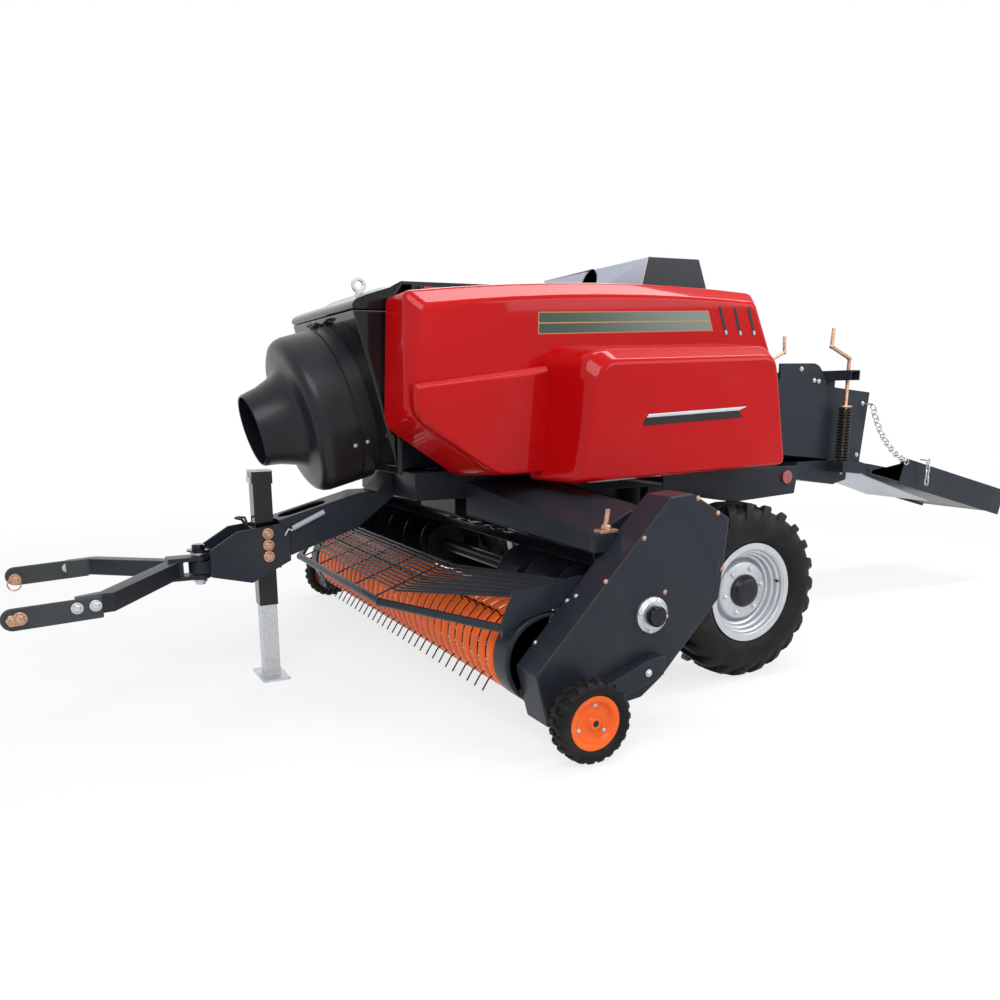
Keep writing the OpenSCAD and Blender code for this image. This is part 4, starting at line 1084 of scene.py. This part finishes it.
def rear_fittings():
    """Bracket plates along the chamber, the sill under its rear and their bolts"""
    plates = [slab("plate", BRACKET_LINE, side * BRACKET_IN, side * BRACKET_FACE) for side in (1, -1)]
    fitted(rounded(joined("chamber_brackets", plates), 0.002), "frame", "anthracite")
    sill = slab("chamber_sill", SILL_LINE, -CHAMBER_HALF, CHAMBER_HALF)
    fitted(rounded(sill, 0.004), "frame", "anthracite")
    places = [((x, CHAMBER_HALF, z), LEFT) for x, z in CHAMBER_BOLTS]
    bolts("chamber_bolts", "frame", mirrored(places), 0.009)
    bolts("bracket_eyes", "frame", mirrored([(EYE_PLACE, LEFT)]), 0.009)


def springs():
    """Each coil with closer, thicker turns, made by a screw of the wire's section"""
    for side, word in SIDES:
        bpy.ops.mesh.primitive_circle_add(vertices=10, radius=SPRING_WIRE / 2, rotation=(pi / 2, 0, 0))
        coil = started("spring_%s_coil" % word)
        bpy.ops.object.transform_apply(rotation=True)
        coil.data.transform(Matrix.Translation((SPRING_R, 0, 0)))
        pitch = (SPRING_TOP - SPRING_FOOT - SPRING_WIRE) / SPRING_TURNS
        modified(coil, "SCREW", axis="Z", angle=2 * pi, screw_offset=pitch, iterations=SPRING_TURNS, steps=24,
                 render_steps=24)
        coil.data.transform(Matrix.Translation((SPRING_X, side * SPRING_Y, SPRING_FOOT + SPRING_WIRE / 2)))
        all_edited(coil, (bpy.ops.mesh.fill_holes, {"sides": 0}),
                   (bpy.ops.mesh.normals_make_consistent, {"inside": False}))
        fitted(smoothed(coil), "frame", "spring_steel", None, ["spring_" + word])


def belly_pan():
    """Dark pan under the front of the chamber, between the wings"""
    pan = slab("belly_pan", PAN_LINE, -PAN_HALF, PAN_HALF)
    fitted(rounded(pan, 0.006), "frame", "anthracite", SPRING_STEEL)


def chute_tray():
    """Pale bent sheet under the arms, lower towards its rear end"""
    rings = []
    for step in range(TRAY_STEPS + 1):
        share = step / TRAY_STEPS
        back = TRAY_FROM + TRAY_L * share
        top = TRAY_TOP - TRAY_SAG * share ** TRAY_BEND
        low = top - TRAY_SHEET
        rings.append([on_chute(back, y, up) for y, up in (
            (-TRAY_HALF, top), (TRAY_HALF, top), (TRAY_HALF, low), (-TRAY_HALF, low))])
    fitted(smoothed(skinned("chute_tray", rings)), "bale_chute", "galvanised", PALE_SHEET)


LINK_BAR = 0.0042
LINK_HALF = 0.016
LINK_WIDE = 0.010
HANGING_LINKS = 4
CHAIN_BACK = 0.455
CHAIN_UP = 0.135
CHAIN_Y = 0.316
STUD_YS = (0.262, 0.324)


def chain_link():
    """A link with round ends, in the plane of X and Z"""
    line = []
    for centre, sense in ((LINK_HALF, 1), (-LINK_HALF, -1)):
        for step in range(7):
            turn = pi * step / 6
            line.append((sense * LINK_WIDE * cos(turn), 0, centre + sense * LINK_WIDE * sin(turn)))
    return bar("link", line + line[:1], LINK_BAR, 8)


def hanging_chains():
    """The loose end of each chute chain, hanging from a stud on the outside of the chute's side"""
    top = on_chute(CHAIN_BACK, 0, CHAIN_UP)
    pitch = 2 * (LINK_HALF + LINK_WIDE) - 4 * LINK_BAR
    for side, word in SIDES:
        placings = [Matrix.Translation((top.x, side * CHAIN_Y, top.z - index * pitch))
                    @ Matrix.Rotation(pi / 2 * (index % 2), 4, "Z") for index in range(HANGING_LINKS)]
        stud = bar("stud", [(top.x, side * y, top.z + LINK_HALF) for y in STUD_YS], 0.005)
        chain = joined("chain_end_" + word, [copied("links", chain_link(), placings), stud])
        fitted(smoothed(chain), "bale_chute", "galvanised")


rear_fittings()
springs()
belly_pan()
chute_tray()
hanging_chains()


# Edge break of each node that keeps its CAD form, in metres; nodes with none are only smoothed
EDGE_BREAK = {
    "main_axle": 0.004, "main_frame": 0.004, "bale_chamber": 0.002, "knotter_deck": 0.003,
    "knotter_hood": 0.006, "top_deck": 0.0015, "gearbox": 0.008, "front_panel": 0.006, "lifting_eye": 0.002,
    "drawbar": 0.004, "hitch_bracket": 0.003, "pivot_pin": 0.002, "jack_tube": 0.004, "wing_left": 0.005,
    "wing_right": 0.005, "feed_trough": 0, "side_skirts": 0.002, "reflectors": 0.002, "tension_frame": 0.002,
    "tension_cranks": 0, "chute_chains": 0, "pto_shaft": 0.002, "flywheel": 0.004, "rim_left": 0,
    "rim_right": 0, "auger_shaft": 0.002, "flight_left": 0, "flight_right": 0, "shield_left": 0.008,
    "shield_right": 0.008, "pickup_beam": 0.003, "stripper_bands": 0, "windguard": 0, "gauge_arms": 0.004,
    "tine_reel": 0, "gauge_disc_left": 0, "gauge_disc_right": 0, "tow_fork": 0.004, "tow_pins": 0.002,
    "jack_leg": 0.003, "bale_chute": 0.0015,
}
for node, width in EDGE_BREAK.items():
    dressed(node, width)


# Floor, light and camera

FLOOR_SIZE = 120
FLOOR_NEAR = 3.5
FLOOR_FAR = 6.5
NEAR_WHITE = 0.78


def studio_floor():
    """White floor that keeps the object's shadow near it and goes over to the white backdrop further out"""
    bpy.ops.mesh.primitive_plane_add(size=FLOOR_SIZE, location=(0, 0, -0.001))
    floor = started("studio_floor")
    finish = Finish("studio_floor_white")
    plain = finish.node("ShaderNodeBsdfDiffuse", None, Color=(0.86, 0.86, 0.86, 1))
    glow = finish.node("ShaderNodeEmission", None, Color=(1, 1, 1, 1), Strength=1.0)
    far = finish.node("ShaderNodeVectorMath", {"operation": "LENGTH"}, finish.place, out="Value")
    fade = far.step(FLOOR_NEAR, FLOOR_FAR) * (1 - NEAR_WHITE) + NEAR_WHITE
    painted(floor, finish.ended(finish.node("ShaderNodeMixShader", None, finish.seen() * fade, plain, glow)))


def studio_sky():
    """Soft bluish light from all round, in front of a white backdrop"""
    sky = Finish("studio_sky", bpy.data.worlds.new("studio_sky"))
    soft = sky.node("ShaderNodeBackground", None, Color=(0.93, 0.96, 1.0, 1), Strength=0.55)
    white = sky.node("ShaderNodeBackground", None, Color=(1, 1, 1, 1))
    mix = sky.node("ShaderNodeMixShader", None, sky.seen(), soft, white)
    bpy.context.scene.world = sky.ended(mix, "ShaderNodeOutputWorld")


def softbox(name, place, aim, size, watts):
    """A soft rectangular light, turned towards its aim"""
    light = bpy.data.lights.new(name, "AREA")
    light.shape = "RECTANGLE"
    light.size, light.size_y = size
    light.energy = watts
    lamp = bpy.data.objects.new(name, light)
    bpy.context.scene.collection.objects.link(lamp)
    lamp.location = place
    lamp.rotation_euler = (Vector(aim) - Vector(place)).to_track_quat("-Z", "Y").to_euler()


# Name, place, aim, size and watts
SOFTBOXES = [
    ("key_light", (3.5, 4.5, 5.0), (0.3, 0.2, 0.8), (4, 3), 215),
    ("fill_light", (-3.5, 5.0, 3.5), (-0.2, 0.3, 0.8), (4, 3), 110),
    ("rim_light", (-2.0, -4.5, 4.5), (0.2, 0, 0.8), (4, 3), 140),
    ("strip_light", (-1.4, 1.05, 4.6), (-1.4, 1.05, 0), (4.6, 0.6), 120),
]
CAMERA_PLACE = Vector((2.7024, 3.7998, 1.2179))
CAMERA_YAW = radians(243.047)
CAMERA_PITCH = radians(-12.482)
CAMERA_ROLL = radians(-0.377)
FOCAL_PIXELS = 880.23
PHOTO_SIDE = 1000
PHOTO_CENTRE = (484.81, 590.15)


def photo_camera():
    """The camera solved from the photograph"""
    data = bpy.data.cameras.new("photo_camera")
    data.sensor_width = 36
    data.lens = FOCAL_PIXELS / PHOTO_SIDE * data.sensor_width
    data.shift_x = 0.5 - PHOTO_CENTRE[0] / PHOTO_SIDE
    data.shift_y = PHOTO_CENTRE[1] / PHOTO_SIDE - 0.5
    camera = bpy.data.objects.new("photo_camera", data)
    bpy.context.scene.collection.objects.link(camera)
    level = cos(CAMERA_PITCH)
    ahead = Vector((cos(CAMERA_YAW) * level, sin(CAMERA_YAW) * level, sin(CAMERA_PITCH)))
    right = ahead.cross(Vector(UP)).normalized()
    up = right.cross(ahead)
    turned_right = right * cos(CAMERA_ROLL) + up * sin(CAMERA_ROLL)
    turned_up = up * cos(CAMERA_ROLL) - right * sin(CAMERA_ROLL)
    facing = Matrix((turned_right, turned_up, -ahead)).transposed()
    camera.matrix_world = Matrix.Translation(CAMERA_PLACE) @ facing.to_4x4()
    bpy.context.scene.camera = camera


studio_floor()
studio_sky()
for lamp in SOFTBOXES:
    softbox(*lamp)
photo_camera()

bpy.context.scene.view_settings.view_transform = "Standard"
